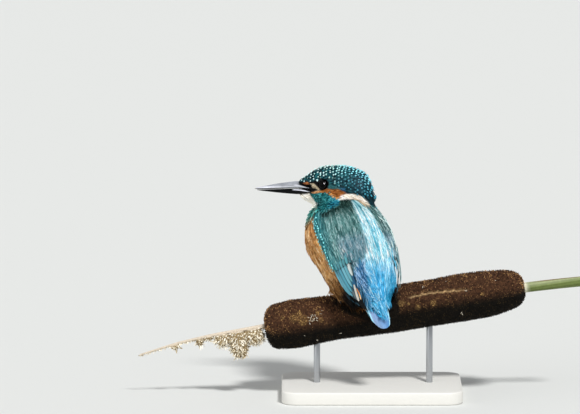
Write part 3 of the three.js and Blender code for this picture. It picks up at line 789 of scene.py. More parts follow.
def flow(points, normals):
    """The way the feathers lie at world points, along the surface."""
    at = whereabouts(points)
    hx, hz, bx, by = at.hx, at.hz, at.bx, at.by
    head_share = smooth(-3, 5, hz - line(hx, SKIRT)) * smooth(25, 19, at.side) * smooth(8, 18, bx)
    fall = 0.75 * smooth(-8, -20, hx) + 0.35 * smooth(2, -8, hz)
    back = -axis(HEAD, 0) - fall[:, None] * axis(HEAD, 2)
    spread = 0.12 * np.sign(by) * smooth(0, 10, np.abs(by)) * smooth(-12, 10, bx)
    spread -= NARROWING * by * smooth(-18, -34, bx)
    down = -axis(BODY, 0) + spread[:, None] * axis(BODY, 1)
    way = unit(back) * head_share[:, None] + unit(down) * (1 - head_share[:, None])
    return unit(way - (way * normals).sum(1)[:, None] * normals)


def off_perch(points):
    """Moves points that would lie inside the seed head out to its surface."""
    x, y, z = local(points, PERCH)
    radius = np.hypot(y, z)
    inner = (radius < PERCH_RADIUS) & (np.abs(x) < PERCH_HALF)
    grow = np.where(inner, PERCH_RADIUS / np.maximum(radius, 1), 1)
    return world(np.stack([x, y * grow, z * grow], -1), PERCH)


def walk(roots, lengths, lift, waver=8.0):
    """Centrelines from each root: points, ways across and ways out, WALK_STEPS + 1 of each."""
    places, normals = settle(roots)
    lengths = lengths * np.ones(len(roots))
    turn = np.radians(chance.normal(0, waver, len(roots)))[:, None]
    path, out, ways = [], [], []
    for step in range(WALK_STEPS + 1):
        way = flow(places, normals)
        way = way * np.cos(turn) + np.cross(normals, way) * np.sin(turn)
        rise = (lift[0] + (lift[1] - lift[0]) * (step / WALK_STEPS) ** 0.8) * np.ones(len(roots))
        path.append(off_perch(places + normals * (rise * MM)[:, None]))
        out.append(normals)
        ways.append(way)
        if step < WALK_STEPS:
            ahead = places + way * (lengths * MM / WALK_STEPS)[:, None]
            places, turned = settle(ahead)
            past = (turned @ -axis(BODY, 0) > END_SLOPE)[:, None]
            places = np.where(past, ahead, places)
            normals = np.where(past, normals, turned)
    path, out, ways = (np.stack(rows, 1) for rows in (path, out, ways))
    return path, unit(np.cross(out, ways)), out


# %% [markdown]
# ## Master feathers
# Each kind of feather is modelled once, lying along x from its root at 0 to its tip at 1, with
# y across and z up. A three-sided ring is drawn out into a leaf with a raised shaft: rounded
# for the firm feathers of the wings and crown, and split into narrow points for the loose ones.

# %% A leaf drawn out from a ring
RING_TURN = (math.pi / 2, 0, math.pi / 2)
LEAF_SIDES = 3


def apply_transform():
    bpy.ops.object.transform_apply(location=True, rotation=True, scale=True)


def loft(name, stations, sides):
    """A closed body along x through rings of (x, y, z, half width, half height)."""
    x, y, z, wide, high = stations[0]
    made = new_shape(bpy.ops.mesh.primitive_circle_add, name, vertices=sides, radius=1,
                     fill_type="NGON", location=(x, y, z), rotation=RING_TURN)
    with editing():
        bpy.ops.transform.resize(value=(1, wide, high), center_override=(x, y, z))
        for place in stations[1:]:
            step = [b - a for a, b in zip((x, y, z), place[:3])]
            bpy.ops.mesh.extrude_region_move(TRANSFORM_OT_translate={"value": step})
            x, y, z = place[:3]
            grow = (1, place[3] / wide, place[4] / high)
            bpy.ops.transform.resize(value=grow, center_override=(x, y, z))
            wide, high = place[3:]
        bpy.ops.mesh.select_all(action="SELECT")
        bpy.ops.mesh.remove_doubles(threshold=1e-5)
        bpy.ops.mesh.normals_make_consistent(inside=False)
    apply_transform()
    return made


def master(name, *leaves):
    """Joins leaves, each a list of stations, into one pattern of triangles for copying."""
    pattern = joined(name, *[loft(name, stations, LEAF_SIDES) for stations in leaves])
    with editing():
        bpy.ops.mesh.quads_convert_to_tris()
    points = mesh_points(pattern)
    faces = np.array([p.vertices[:] for p in pattern.data.polygons])
    bpy.data.objects.remove(pattern)
    print(name, "has", len(faces), "triangles")
    return points, faces


def leaf(outline, thickness, turn=0.0, long=1.0, wide=1.0):
    """Stations of one leaf from (x, half width) pairs, fanned out by turn across its length."""
    rows = []
    for x, half in outline:
        x, half = x * long, half * wide
        rows.append((x, turn * x, 0.0, half, thickness * (0.35 + 0.65 * min(1.0, half / 0.4))))
    return rows


ROUNDED = [(0, 0.16), (0.3, 0.44), (0.62, 0.56), (0.86, 0.42), (0.97, 0.2), (1, 0.03)]
SHORT = [(0, 0.2), (0.4, 0.52), (0.75, 0.5), (0.95, 0.24), (1, 0.04)]
NARROW = [(0, 0.25), (0.35, 0.5), (0.75, 0.38), (1, 0.04)]
STRAND = [(0, 0.1), (0.4, 0.2), (0.75, 0.15), (1, 0.015)]
VANE = master("vane", leaf(ROUNDED, 0.1))
SCALE = master("scale", leaf(SHORT, 0.12))
TUFT = master("tuft", leaf(STRAND, 0.09, wide=1.1), leaf(STRAND, 0.07, 0.42, 0.93),
              leaf(STRAND, 0.07, -0.42, 0.9), leaf(STRAND, 0.06, 0.2, 0.8, 0.8),
              leaf(STRAND, 0.06, -0.22, 0.84, 0.8))
BLADE = master("blade", leaf(NARROW, 0.22))
WISP = master("wisp", leaf(STRAND, 0.1), leaf(STRAND, 0.1, 0.3, 0.85))


# %% [markdown]
# ## Planting and laying
# Roots are strewn over the skin about one spacing apart, as they are on a bird, and the copies
# of a master feather are bent along their centrelines in one array calculation. Each copy has
# its own colour, its own number for variety, and its own small patch on the map for baking.

# %% Strew roots over a surface
CROWDING = 3.0


def corners_of(obj):
    """The three corners of every triangle of an object."""
    obj.data.calc_loop_triangles()
    ids = np.empty(len(obj.data.loop_triangles) * 3, int)
    obj.data.loop_triangles.foreach_get("vertices", ids)
    return mesh_points(obj)[ids.reshape(-1, 3)]


def near_tree(points):
    tree = kdtree.KDTree(len(points))
    for index, point in enumerate(points):
        tree.insert(point, index)
    tree.balance()
    return tree


skin_corners = corners_of(skin)


def strew(spacing, wanted, corners=skin_corners):
    """Places about one spacing, in mm, apart on the triangles, where wanted(points) is true."""
    edges = np.cross(corners[:, 1] - corners[:, 0], corners[:, 2] - corners[:, 0])
    areas = np.linalg.norm(edges, axis=1) / 2
    count = int(areas.sum() / (spacing * MM) ** 2 * CROWDING)
    chosen = chance.choice(len(areas), count, p=areas / areas.sum())
    a, b = np.sqrt(chance.random(count))[:, None], chance.random(count)[:, None]
    one, two, three = (corners[chosen, i] for i in range(3))
    points = (1 - a) * one + a * (1 - b) * two + a * b * three
    points = points[wanted(points)]
    tree = near_tree(points)
    free = np.ones(len(points), bool)
    kept = []
    for index, point in enumerate(points):
        if free[index]:
            kept.append(index)
            for _, near, _ in tree.find_range(point, spacing * MM):
                free[near] = False
    return points[kept]


# %% Bend copies of a master feather along their centrelines
PATCH_SIZE = 0.003
FEATHER_CREASE = 55


def home_places(points):
    """Places on an unwrap of the skin, round the body and along it, fitted to the map."""
    bx, by, bz = local(points, BODY)
    places = np.stack([np.arctan2(by, bz - 1) / math.tau + 0.5, bx / 120 + 0.5], -1)
    low, high = places.min(0), places.max(0)
    return 0.01 + 0.98 * (places - low) / np.maximum(high - low, 1e-6)


def follow(rows, share):
    """Reads rows of F feathers at K places along them, at each of M shares from 0 to 1."""
    last = rows.shape[1] - 1
    index = np.clip((share * last).astype(int), 0, last - 1)
    part = (share * last - index)[None, :, None]
    return rows[:, index] * (1 - part) + rows[:, index + 1] * part


def new_mesh(name, points, faces):
    mesh = bpy.data.meshes.new(name)
    mesh.vertices.add(len(points))
    mesh.vertices.foreach_set("co", points.ravel())
    mesh.loops.add(faces.size)
    mesh.loops.foreach_set("vertex_index", faces.ravel())
    mesh.polygons.add(len(faces))
    mesh.polygons.foreach_set("loop_start", np.arange(0, faces.size, faces.shape[1]))
    mesh.update(calc_edges=True)
    mesh.validate()
    obj = bpy.data.objects.new(name, mesh)
    scene.collection.objects.link(obj)
    return obj


def lay(name, pattern, lines, width, thickness, colours, mat, slot, *nodes):
    """One coat piece: a copy of the pattern along each centreline. The colours are one for all,
    one for each feather, one for each vertex, or a function of the vertices' places."""
    points, faces = pattern
    path, across, out = lines
    count, each = len(path), len(points)
    share = np.clip(points[:, 0], 0, 1)
    widths, heights = (size * np.ones(count) * MM for size in (width, thickness))
    sideways = follow(across, share) * (points[:, 1][None, :, None] * widths[:, None, None])
    upwards = follow(out, share) * (points[:, 2][None, :, None] * heights[:, None, None])
    placed = (follow(path, share) + sideways + upwards).reshape(-1, 3)
    all_faces = (faces[None] + np.arange(count)[:, None, None] * each).reshape(-1, 3)
    obj = new_mesh(name, placed, all_faces)
    tint = colours(placed.reshape(count, each, 3), share) if callable(colours) else colours
    tint = tint[:, None] if tint.ndim == 2 else tint
    paint(obj, np.broadcast_to(tint, (count, each, 3)).reshape(-1, 3))
    number = obj.data.attributes.new("chance", "FLOAT", "POINT")
    number.data.foreach_set("value", np.repeat(chance.random(count), each))
    corners = np.stack([points[:, 1] + 0.5, share], -1)[faces.ravel()]
    patches = home_places(path[:, 0])[:, None] + corners[None] * PATCH_SIZE
    for key, places in (("vane", np.tile(corners, (count, 1))), ("OFBake", patches)):
        obj.data.uv_layers.new(name=key).data.foreach_set("uv", places.ravel())
    finished(obj, mat, slot, *nodes, crease=FEATHER_CREASE)


# %% Colours for laid feathers
def varied(mean, spread, count, least=0, most=1):
    """Chance values round a mean, within limits."""
    return np.clip(chance.normal(mean, spread, count), least, most)


# Feathers are painted darker towards the root: painted shade under the feathers that lie over them.
ROOT_PAINTED_SHADE = 0.72
SEEN_AT = 0.75
STREAK_GRID = chance.random((64, 512)) * 2 - 1


def streaks(points, long, wide):
    """Chance values from -1 to 1 that stay alike along the lie of the coat, in mm."""
    bx, by, bz = local(points, BODY)
    together = np.exp(NARROWING * np.clip(-26 - bx, 0, 20))
    across = np.arctan2(by, bz - 1) * 20 * together / wide + 256
    along = bx / long + 32
    i, j = np.floor(along).astype(int), np.floor(across).astype(int)
    u, v = smooth(0, 1, along - i), smooth(0, 1, across - j)
    rows, columns = STREAK_GRID.shape
    read = [STREAK_GRID[(i + a) % rows, (j + b) % columns] for a in (0, 1) for b in (0, 1)]
    return (read[0] * (1 - v) + read[1] * v) * (1 - u) + (read[2] * (1 - v) + read[3] * v) * u


def plumage(path, tone_mean=0.5, tone_spread=0.22, streak=None):
    """Each feather has one tone and the marking at its visible part, with painted shade at the root."""
    seen = follow(path, np.array([SEEN_AT]))[:, 0]
    tone = chance.normal(0, tone_spread, len(path))
    if streak:
        tone = 0.5 * tone + 1.5 * tone_spread * streaks(seen, *streak)
    plain = marking(seen, np.clip(tone_mean + tone, 0, 1))

    def colours(placed, share):
        level = ROOT_PAINTED_SHADE + (1 - ROOT_PAINTED_SHADE) * smooth(0.1, 0.7, share)
        return plain[:, None] * level[None, :, None]
    return colours


def toned(mean, spread, streak=None):
    """A way of colouring with its own mean tone, spread and streaks (long, wide)."""
    return lambda path: plumage(path, mean, spread, streak)


def painted(path):
    """The marking at every point of every feather, for the small detail of the face."""
    def colours(placed, share):
        count, each = placed.shape[:2]
        tone = varied(0.5, 0.2, count)
        return marking(placed.reshape(-1, 3), np.repeat(tone, each)).reshape(count, each, 3)
    return colours


# %% [markdown]
# ## The coat, region by region
# Each region of the body has its own kind of feather: scales a millimetre or two long on the
# face, barred ones on the crown, firm vanes on the shoulders, and long loose tufts on the back,
# the rump and the belly.

# %% Plant one region
EYE_CLEAR = 2.35


def asked(value, roots):
    """A value that is given, or worked out at the roots."""
    return value(roots) if callable(value) else value


def clear_of_eye(path):
    """True for centrelines that stay outside the lids."""
    hx, hy, hz = local(path.reshape(-1, 3), HEAD)
    near = (np.hypot(hx - EYE_PLACE.x, hz - EYE_PLACE.z) < EYE_CLEAR) & (np.abs(hy) > 6)
    return ~near.reshape(path.shape[:2]).any(1)


def plant(name, wanted, spacing, length, width, pattern, mat, slot, lift, colour_by=plumage,
          thickness=1.0, waver=8.0):
    """Strews roots where wanted, walks the centrelines and lays the feathers."""
    roots = strew(spacing, wanted)
    lengths = asked(length, roots) * varied(1, 0.12, len(roots), 0.6, 1.4)
    rise = varied(1, 0.12, len(roots), 0.7, 1.3)
    low, high = asked(lift, roots)
    lines = walk(roots, lengths, (low * rise, high * rise), asked(waver, roots))
    good = clear_of_eye(lines[0])
    lines = tuple(rows[good] for rows in lines)
    colours = colour_by(lines[0])
    widths = width * varied(1, 0.1, len(lines[0]), 0.7, 1.3)
    lay(name, pattern, lines, widths, thickness, colours, mat, slot)


def half(test, side):
    """A test that holds on the bird's left (1) or right (-1) half alone."""
    return lambda points: test(points) & (local(points, BODY)[1] * side > 0)


# %% Belly, flanks and breast
def is_under(points):
    share, at = facts(points)
    beside_tail = (at.bx < -36) & (at.around > -10)
    bare = (share["mantle"] < 0.6) & (share["stripe"] < 0.5) & (at.head <= 0.5) & ~beside_tail
    return bare & (share["side_patch"] < 0.5) & (share["patch"] < 0.5)


def flank_lift(roots):
    """The flank stands out most low down, and tucks in under the front edge of the wing."""
    at = whereabouts(roots)
    tucked = smooth(-22, 0, at.around - line(at.bx, WING_LOW)) * smooth(34, 24, at.bx)
    return 0.3, np.minimum(2.4 - 1.7 * tucked, 2.4 - 1.5 * smooth(20, 8, at.bx))


def belly_length(roots):
    """Long feathers, but short ones under the root of the tail."""
    return 9.5 - 4.5 * smooth(-28, -34, local(roots, BODY)[0])


for label, side in SIDES:
    plant(f"coat_down_{label}", half(is_under, side), 1.9, lambda roots: belly_length(roots) - 1.5, 2.6,
          TUFT, SOFT_FEATHER, "body_plumage", (0.2, 1.5), toned(0.25, 0.15))
    plant(f"coat_belly_{label}", half(is_under, side), 0.72, belly_length, 0.75, BLADE, SOFT_FEATHER,
          "body_plumage", flank_lift, toned(0.52, 0.3, (12, 0.8)), waver=5)


# %% Sides of the breast, the mantle and the wing coverts
def is_side_patch(points):
    share, at = facts(points)
    return (share["side_patch"] > 0.4) & (share["mantle"] < 0.9) & (at.head <= 0.5)


def is_mantle(points):
    share, at = facts(points)
    plain = (share["mantle"] > 0.35) & (share["stripe"] < 0.6) & (share["patch"] < 0.5)
    return plain & (at.head <= 0.5) & (at.bx > -15 - 8 * smooth(40, 50, at.around))


def side_patch_lift(roots):
    """The sides of the breast stand out below, and lie close on the shoulder."""
    return 0.3, 2.3 - 1.6 * smooth(8, 20, whereabouts(roots).around)


plant("coat_breast_sides", is_side_patch, 1.0, 4.5, 1.8, VANE, SLEEK_FEATHER, "body_plumage",
      side_patch_lift, toned(0.6, 0.25))
for label, side in SIDES:
    plant(f"coat_mantle_{label}", half(is_mantle, side), 1.3, 5.0, 2.4, VANE, SLEEK_FEATHER,
          "wing_plumage", (0.1, 0.6), toned(0.3, 0.1))
    plant(f"coat_mantle_barbs_{label}", half(is_mantle, side), 0.66, 4.6, 0.72, BLADE, SLEEK_FEATHER,
          "wing_plumage", (0.35, 1.05), toned(0.49, 0.36, (5, 0.6)))


# %% [markdown]
# Bright spots run along the front edge of the wing, one on the tip of each small covert there.

# %% Spots on the wing coverts
COVERT_SPOT = linear("#8ff0f4")
SPOT_STEP, SPOT_RADIUS = 1.85, 24


def dab(name, lines, width, colour, mat, slot, start, rise=0.14, thickness=0.7, tone_spread=0.2):
    """A pale tip on each feather: a small leaf over its end, from start on."""
    shares = np.linspace(start, 1.0, WALK_STEPS + 1)
    tone = varied(1, tone_spread, len(lines[0]), 0.25, 1.3)[:, None]
    tint = colour(lines[0][:, -1]) * tone
    widths = width * varied(1, 0.18, len(lines[0]), 0.5, 1.5)
    path, across, out = (follow(rows, shares) for rows in lines)
    lay(name, SCALE, (path + out * rise * MM, across, out), widths, thickness, np.clip(tint, 0, 1), mat, slot)


spot_roots = []
for first, over_edge in ((18.6, 1.6), (19.55, 5.0)):
    for bx in np.arange(first, -18, -SPOT_STEP):
        turn = math.radians(line(bx, WING_LOW) + over_edge + chance.normal(0, 0.5))
        for _, side in SIDES:
            spot_roots.append((bx + chance.normal(0, 0.25), side * SPOT_RADIUS * math.cos(turn),
                               1 + SPOT_RADIUS * math.sin(turn)))
spot_lines = walk(world(spot_roots, BODY), 3.4, (0.8, 1.55), 5)
dab("coat_covert_spots", spot_lines, 0.85, lambda tips: COVERT_SPOT, BRIGHT_FEATHER, "wing_plumage", 0.65)


# %% The bright back and rump
def is_back(points):
    share, at = facts(points)
    return (share["stripe"] > 0.4) & (at.bx > -14) & (at.head <= 0.5) & (share["patch"] < 0.5)


def is_rump(points):
    share, at = facts(points)
    bx, by = at.bx, at.by
    tapering = (by < 12.3 + 0.3 * (bx + 30)) & (by > -12.8 - 0.66 * (bx + 30))
    on_top = (by < 6) | (at.around > 46 * smooth(-34, -40, bx))
    return (share["stripe"] > 0.4) & (bx <= -14) & (bx > -49) & tapering & on_top


def rump_length(roots):
    """Long plumes on the rump, shorter ones over the root of the tail."""
    bx, by, bz = local(roots, BODY)
    aside = np.maximum(smooth(2, 6, by), 1.4 * smooth(0, -3, by))
    return 10.5 - (1 + 2.5 * aside) * smooth(-34, -48, bx) - 4.0 * smooth(4, 9, by) * smooth(-16, -24, bx)


def rump_lift(roots):
    """The plumes lie closer towards the right edge of the root of the tail."""
    bx, by, bz = local(roots, BODY)
    return 0.3, 1.9 - 1.2 * smooth(-3, -8, by) * smooth(-28, -36, bx)


def rump_waver(roots):
    """The blue feathers on the left of the rump lie less evenly."""
    return 3 + 17 * smooth(4, 9, local(roots, BODY)[1])


# The white streaks of the back and rump are partly painted highlights: their palettes run up to near white.
for name, where, spacing, length, width, pattern, lift, colour_by, waver in (
        ("back_down", is_back, 1.5, 8.0, 2.0, TUFT, (0.1, 1.1), toned(0.25, 0.12), 8.0),
        ("rump_down", is_rump, 1.5, 9.0, 2.2, TUFT, (0.1, 1.3), toned(0.2, 0.12), 8.0),
        ("back", is_back, 0.62, 9.0, 0.62, BLADE, (0.3, 1.7), toned(0.6, 0.5, (15, 0.45)), 4),
        ("rump", is_rump, 0.62, rump_length, 0.66, BLADE, rump_lift, toned(0.54, 0.36, (14, 0.55)),
         rump_waver)):
    plant(f"coat_{name}", where, spacing, length, width, pattern, BRIGHT_FEATHER, "body_plumage", lift,
          colour_by, waver=waver)


# %% Throat, cheeks, ear and neck patch
def is_patch(points):
    share, at = facts(points)
    return (share["patch"] > 0.4) | (share["patch_rim"] > 0.5) & (at.hx > -12)


def is_throat(points):
    share, at = facts(points)
    others = np.max([share[n] for n in ("malar", "cheek", "crown", "patch", "lore")], axis=0)
    return (at.head > 0.5) & (others < 0.5) & ((at.hx > -6) | (at.by > -8))


def on_region(name, least):
    """A test for the head's places inside one region."""
    def test(points):
        share, at = facts(points)
        return (at.head > 0.5) & (share[name] > least)
    return test


GAPE_END, FACE_END = 17.3, 25.3


def is_cheek(points):
    share, at = facts(points)
    face = np.max([share[n] for n in ("cheek", "lore", "loral_spot", "loral_streak", "gape")], axis=0)
    here = (at.head > 0.5) & (face > 0.5) & (share["ear"] < 0.6) & (share["patch"] < 0.4)
    here &= at.hx < GAPE_END + (FACE_END - GAPE_END) * smooth(0.9, 2.1, at.hz)
    return here & ((share["crown"] < 0.5) | (share["lore"] > 0.5))


def throat_lift(roots):
    """The chin lies flat; the throat stands out lowest down, over the breast."""
    hx, hy, hz = local(roots, HEAD)
    return 0.2, 0.45 + (0.55 + 2.2 * smooth(-7, -11, hz)) * smooth(20, 15, hx)


is_malar = on_region("malar", 0.5)
plant("coat_throat", is_throat, 0.62, 3.8, 0.62, BLADE, SOFT_FEATHER, "neck_plumage", throat_lift, painted)
plant("coat_malar", is_malar, 0.95, 3.0, 1.4, VANE, SLEEK_FEATHER, "crown_plumage", (0.15, 1.1))
plant("coat_cheek", is_cheek, 0.62, 2.2, 0.8, SCALE, SOFT_FEATHER, "crown_plumage", (0.1, 0.6), painted, 0.7)
plant("coat_ear", on_region("ear", 0.4), 0.55, 3.0, 0.55, BLADE, SOFT_FEATHER, "crown_plumage", (0.2, 0.9),
      painted, 0.8)
plant("coat_neck_patch", is_patch, 0.55, 4.6, 0.6, BLADE, SOFT_FEATHER, "neck_plumage", (0.4, 1.7), painted,
      waver=5)


# %% [markdown]
# ## The barred crown
# The crown's feathers stand in rows from the bill to the nape, each row set half a step aside
# from the one before, like tiles. Each feather ends in a pale bar, which is a leaf of its own
# over the dark one, so that the bars stay crisp.

# %% Rows of feathers on the crown
CROWN_STEP, CROWN_DOWN_STEP = 1.95, 1.3
BAR_CLEAR = 3.4


def crown_rows(step):
    """Roots in staggered rows: rays from outside the head to its long axis find the skin."""
    roots = []
    for row, hx in enumerate(np.arange(-22.5, 24.5, step)):
        width = max(3.5, 12.5 * math.sqrt(max(0.05, 1 - ((hx + 3) / 27.5) ** 2)))
        count = max(5, round(math.pi * width / step))
        for index in range(count + 1):
            turn = 1.15 * (math.pi * (index + 0.5 * (row % 2)) / count - 0.35)
            centre = Vector((hx, 0, 0))
            foot = HEAD @ centre
            start = HEAD @ (centre + Vector((0, math.cos(turn), math.sin(turn))) * 30)
            hit = skin_tree.ray_cast(start, (foot - start).normalized())[0]
            if hit is not None:
                roots.append(hit[:])
    roots = np.array(roots) + chance.normal(0, 0.3 * MM, (len(roots), 3))
    share, at = facts(roots)
    return roots[(at.head > 0.5) & (share["crown"] > 0.5) & (share["patch"] < 0.3)]


def crown_lines(step, length, rise):
    roots = crown_rows(step)
    hx = local(roots, HEAD)[0]
    lengths = length * (1 + 0.2 * smooth(-12, -20, hx) - 0.3 * smooth(14, 22, hx))
    highest = rise * (1 - 0.5 * smooth(16, 24, hx) - 0.2 * smooth(-15, -21, hx))
    lines = walk(roots, lengths, (0.15, highest), 4)
    kept = clear_of_eye(lines[0]) & (facts(lines[0][:, -1])[0]["patch"] < 0.3)
    return tuple(rows[kept] for rows in lines)


def bar_colour(tips):
    """Pale and green in front, bluer behind, and dim low down and over the ear."""
    hx, hy, hz = local(tips, HEAD)
    behind = smooth(4, -8, hx)
    tint = blend(linear("#c6fbf3"), linear("#88dcea"), behind)
    tint = blend(tint, linear("#419bb2"), smooth(5, -5, hz) * behind)
    quiet = smooth(9, 6, hz) * smooth(4, -3, hx) * smooth(-20, -14, hx) * 0.75
    return blend(tint, linear("#28667a"), quiet)


crown_down = crown_lines(CROWN_DOWN_STEP, 3.4, 1.0)
lay("coat_crown", VANE, crown_down, 1.6, 1.1, plumage(crown_down[0], 0.5, 0.25), SLEEK_FEATHER,
    "crown_plumage")
bars = crown_lines(CROWN_STEP, 3.2, 1.25)
tip_x, tip_y, tip_z = local(bars[0][:, -1], HEAD)
clear = np.hypot(tip_x - EYE_PLACE.x, tip_z - EYE_PLACE.z) > BAR_CLEAR
dab("coat_crown_bars", tuple(rows[clear] for rows in bars), 1.25, bar_colour, BRIGHT_FEATHER, "crown_plumage",
    0.68, rise=0.22, thickness=2.6, tone_spread=0.35)

# %% Small bars on the malar stripe
malar_roots = strew(1.35, lambda points: is_malar(points) & (facts(points)[0]["ear"] < 0.05))
dab("coat_malar_bars", walk(malar_roots, 2.6, (0.15, 1.25), 6), 0.7, lambda tips: linear("#52aeb0"),
    SLEEK_FEATHER, "crown_plumage", 0.66)


# %% [markdown]
# ## Wings and tail
# A folded wing shows its coverts and, beyond them, the long flight feathers, the upper ones
# lying on the lower. Each is a large vane with a shaft, laid between given ends on the outer
# surface of the wing's own solid. The short tail has twelve such feathers in a narrow fan.

# %% A large vane with its shaft
LONG_VANE = [(0, 0.2), (0.08, 0.34), (0.25, 0.42), (0.5, 0.47), (0.72, 0.5), (0.87, 0.45),
             (0.95, 0.32), (0.99, 0.15), (1, 0.02)]
SHAFT = [(0, 0, 0.07, 0.035, 0.045), (0.5, 0, 0.07, 0.03, 0.045), (0.93, 0, 0.07, 0.012, 0.045)]
QUILL = master("quill", leaf(LONG_VANE, 0.08), SHAFT)

# %% Lines on the wing's outer surface
OUTER_NODES = ("trunk", "wing_left", "wing_left_flight", "wing_right", "wing_right_flight")
wing_tree = surface_tree(*[frame["nodes"][n] for n in OUTER_NODES])
WING_STEPS = 7
INNER_WEB = linear("#122b33")


def framed(path, out):
    """A centreline with its ways across and out."""
    path, out = np.array(path), np.array(out) * np.ones((len(path), 1))
    return path, unit(np.cross(out, unit(np.gradient(path, axis=0)))), out


def between(first, last, count):
    return [first + (last - first) * i / (count - 1) for i in range(count)]


def wing_line(start, end, side, rise, tree=wing_tree):
    """A centreline on one wing between two (length along the body, degrees round it) ends."""
    path, out = [], []
    for share in between(0, 1, WING_STEPS + 1):
        bx, angle, lift = (a + (b - a) * share for a, b in zip((*start, rise[0]), (*end, rise[1])))
        turn = math.radians(angle)
        centre = Vector((bx, 0, 1))
        foot = BODY @ centre
        far = BODY @ (centre + Vector((0, side * math.cos(turn), math.sin(turn))) * 60)
        hit = tree.ray_cast(far, (foot - far).normalized())[0]
        out.append(unit(np.array((far - foot)[:])))
        path.append(np.array(hit[:]) + out[-1] * lift * MM)
    path = np.array(path)
    for column in range(3):
        path[1:-1, column] = np.convolve(path[:, column], (0.25, 0.5, 0.25), "valid")
    return framed(path, out)


def stacked(lines):
    return tuple(np.stack(rows) for rows in zip(*lines))


def quills(name, lines, width, colours, slot, *nodes, inner_side=0, thickness=1.0):
    """Large vanes; the web on the inner side, towards the back, is dark."""
    inner = smooth(0.0, 0.16, QUILL[0][:, 1] * inner_side)[None, :, None]
    tint = colours[:, None] + (INNER_WEB - colours[:, None]) * inner
    lay(name, QUILL, stacked(lines), width, thickness, tint, FLIGHT_FEATHER, slot, *nodes)


def codes(text):
    """Colours from codes with spaces between them."""
    return np.array([linear(code) for code in text.split()])


# %% Flight feathers and greater coverts
FLIGHT_TIPS = [(-35.5, 25.5), (-37, 30), (-35, 34.5), (-32.5, 39), (-30, 43), (-27, 47)]
FLIGHT_BLUES = codes("#62a9bb #5c9fb2 #4c92a5 #69a9b8 #5b9aa8 #b9c4c2")
TIP_FEATHERS = [((-24, 27), (-38.5, 30)), ((-24, 34), (-40, 34.5)), ((-31.5, 42.5), (-41.2, 37.2))]
# The right wing's tip feathers are nearly black: painted shade, darker than the same feathers on the left.
TIP_TINTS_WITH_RIGHT_SHADED = {"left": codes("#39474b #55656a #c4c0b6"), "right": codes("#1c2427 #1c2427 #1c2427")}
HELD_CLOSE = 0.6
STANDS_OFF = {2: 0.3, 3: 0.8}
COVERTS = 9
for label, side in SIDES:
    right = side < 0
    close = HELD_CLOSE if right else 0.0
    tips = [wing_line(start, tip, side, (-1.2 + 0.1 * i, -0.9 + 0.1 * i - 2 * close))
            for i, (start, tip) in enumerate(TIP_FEATHERS)]
    quills(f"wing_tip_{label}", tips, 1.7, TIP_TINTS_WITH_RIGHT_SHADED[label], "wing_plumage")
    off = [STANDS_OFF.get(i, -close) if right else 0.0 for i in range(len(FLIGHT_TIPS))]
    lines = [wing_line((-9, angle), tip, side, (-0.6 + 0.12 * i, -0.5 + 0.2 * i + off[i]))
             for i, (angle, tip) in enumerate(zip(between(19, 47, len(FLIGHT_TIPS)), FLIGHT_TIPS))]
    blues = FLIGHT_BLUES.copy()
    # Two of the right wing's flight feathers are paler: a painted sheen along its outer edge.
    if right:
        blues[2:4] = linear("#9cc8cb")
    quills(f"flight_{label}", lines, 2.7, blues, "wing_plumage", f"wing_{label}_flight", inner_side=side)
    angles = zip(between(19, 60, COVERTS), between(20, 55, COVERTS))
    lines = [wing_line((-7, a), (-18.5 - 1.5 * math.sin(math.pi * i / (COVERTS - 1)), b), side,
                       (-0.9, 0.35 + 0.05 * i - 1.6 * close)) for i, (a, b) in enumerate(angles)]
    teals = linear("#4b8b94") * chance.normal(1, 0.1, (COVERTS, 1))
    quills(f"greater_coverts_{label}", lines, 2.7, teals, "wing_plumage", inner_side=side)

# %% Single pale feathers set one by one
SHEEN_HIGH = [((9.5, 64), (5.2, 58)), ((10.5, 51), (-0.5, 48)), ((0.5, 49), (-8.5, 47.5)),
              ((-7.5, 48), (-16.5, 46)), ((-8, 58), (-13, 59))]
SHEEN_LOW = [((-13, 59), (-26, 55)), ((-17, 56), (-29, 52)), ((-20, 54), (-31.4, 35))]
BUFF_LINES = [((-34.2, 44.2), (-38.2, 44.6)), ((-36, 44.8), (-39.8, 44.4)), ((-37.8, 44.6), (-41.4, 43.6))]
sheen = [wing_line(*ends, -1, (1.6, 2.0), skin_tree) for ends in SHEEN_HIGH]
sheen += [wing_line(*ends, -1, (0.1, 0.5)) for ends in SHEEN_LOW]
lay("wing_sheen_right", BLADE, stacked(sheen), np.array([0.7] * len(SHEEN_HIGH) + [1.9, 1.7, 1.5]), 0.8,
    codes("#d4ece8 " * len(SHEEN_HIGH) + "#5fb2d2 #4f9fbe #a6ced2"), SLEEK_FEATHER, "wing_plumage")
buff = stacked([wing_line(*ends, 1, (-0.6, 0.3)) for ends in BUFF_LINES])
lay("coat_under_wing_left", BLADE, buff, 1.0, 0.8, codes("#b9753a #e6a566 #f3c490"), SOFT_FEATHER,
    "body_plumage")


def chin_line(place):
    """A centreline from under the base of the bill back to the throat, placed from -1 to 1 across."""
    rows = [(25.8 - 6.5 * share, place * (1.6 + 2.4 * share),
             -3.7 - 2.6 * share - 0.5 * math.sin(math.pi * share)) for share in between(0, 1, WING_STEPS + 1)]
    return framed(world(rows, HEAD), -axis(HEAD, 2))


chin = stacked([chin_line(place) for place in between(-1, 1, 9)])
lay("coat_chin", BLADE, chin, 1.1, 0.8, linear("#f3ecdc"), SOFT_FEATHER, "neck_plumage")

# %% The tail
TAIL_ROOT, TAIL_TIP, TAIL_SHORTER = -30.0, -61.4, (2.0, 5.0)
TAIL_SPREAD, TAIL_DRIFT = (7.0, 4.3), (0.6, 2.2)
TAIL_HEIGHT, TAIL_CAMBER = 10.4, 0.02
TAIL_FEATHERS = 12


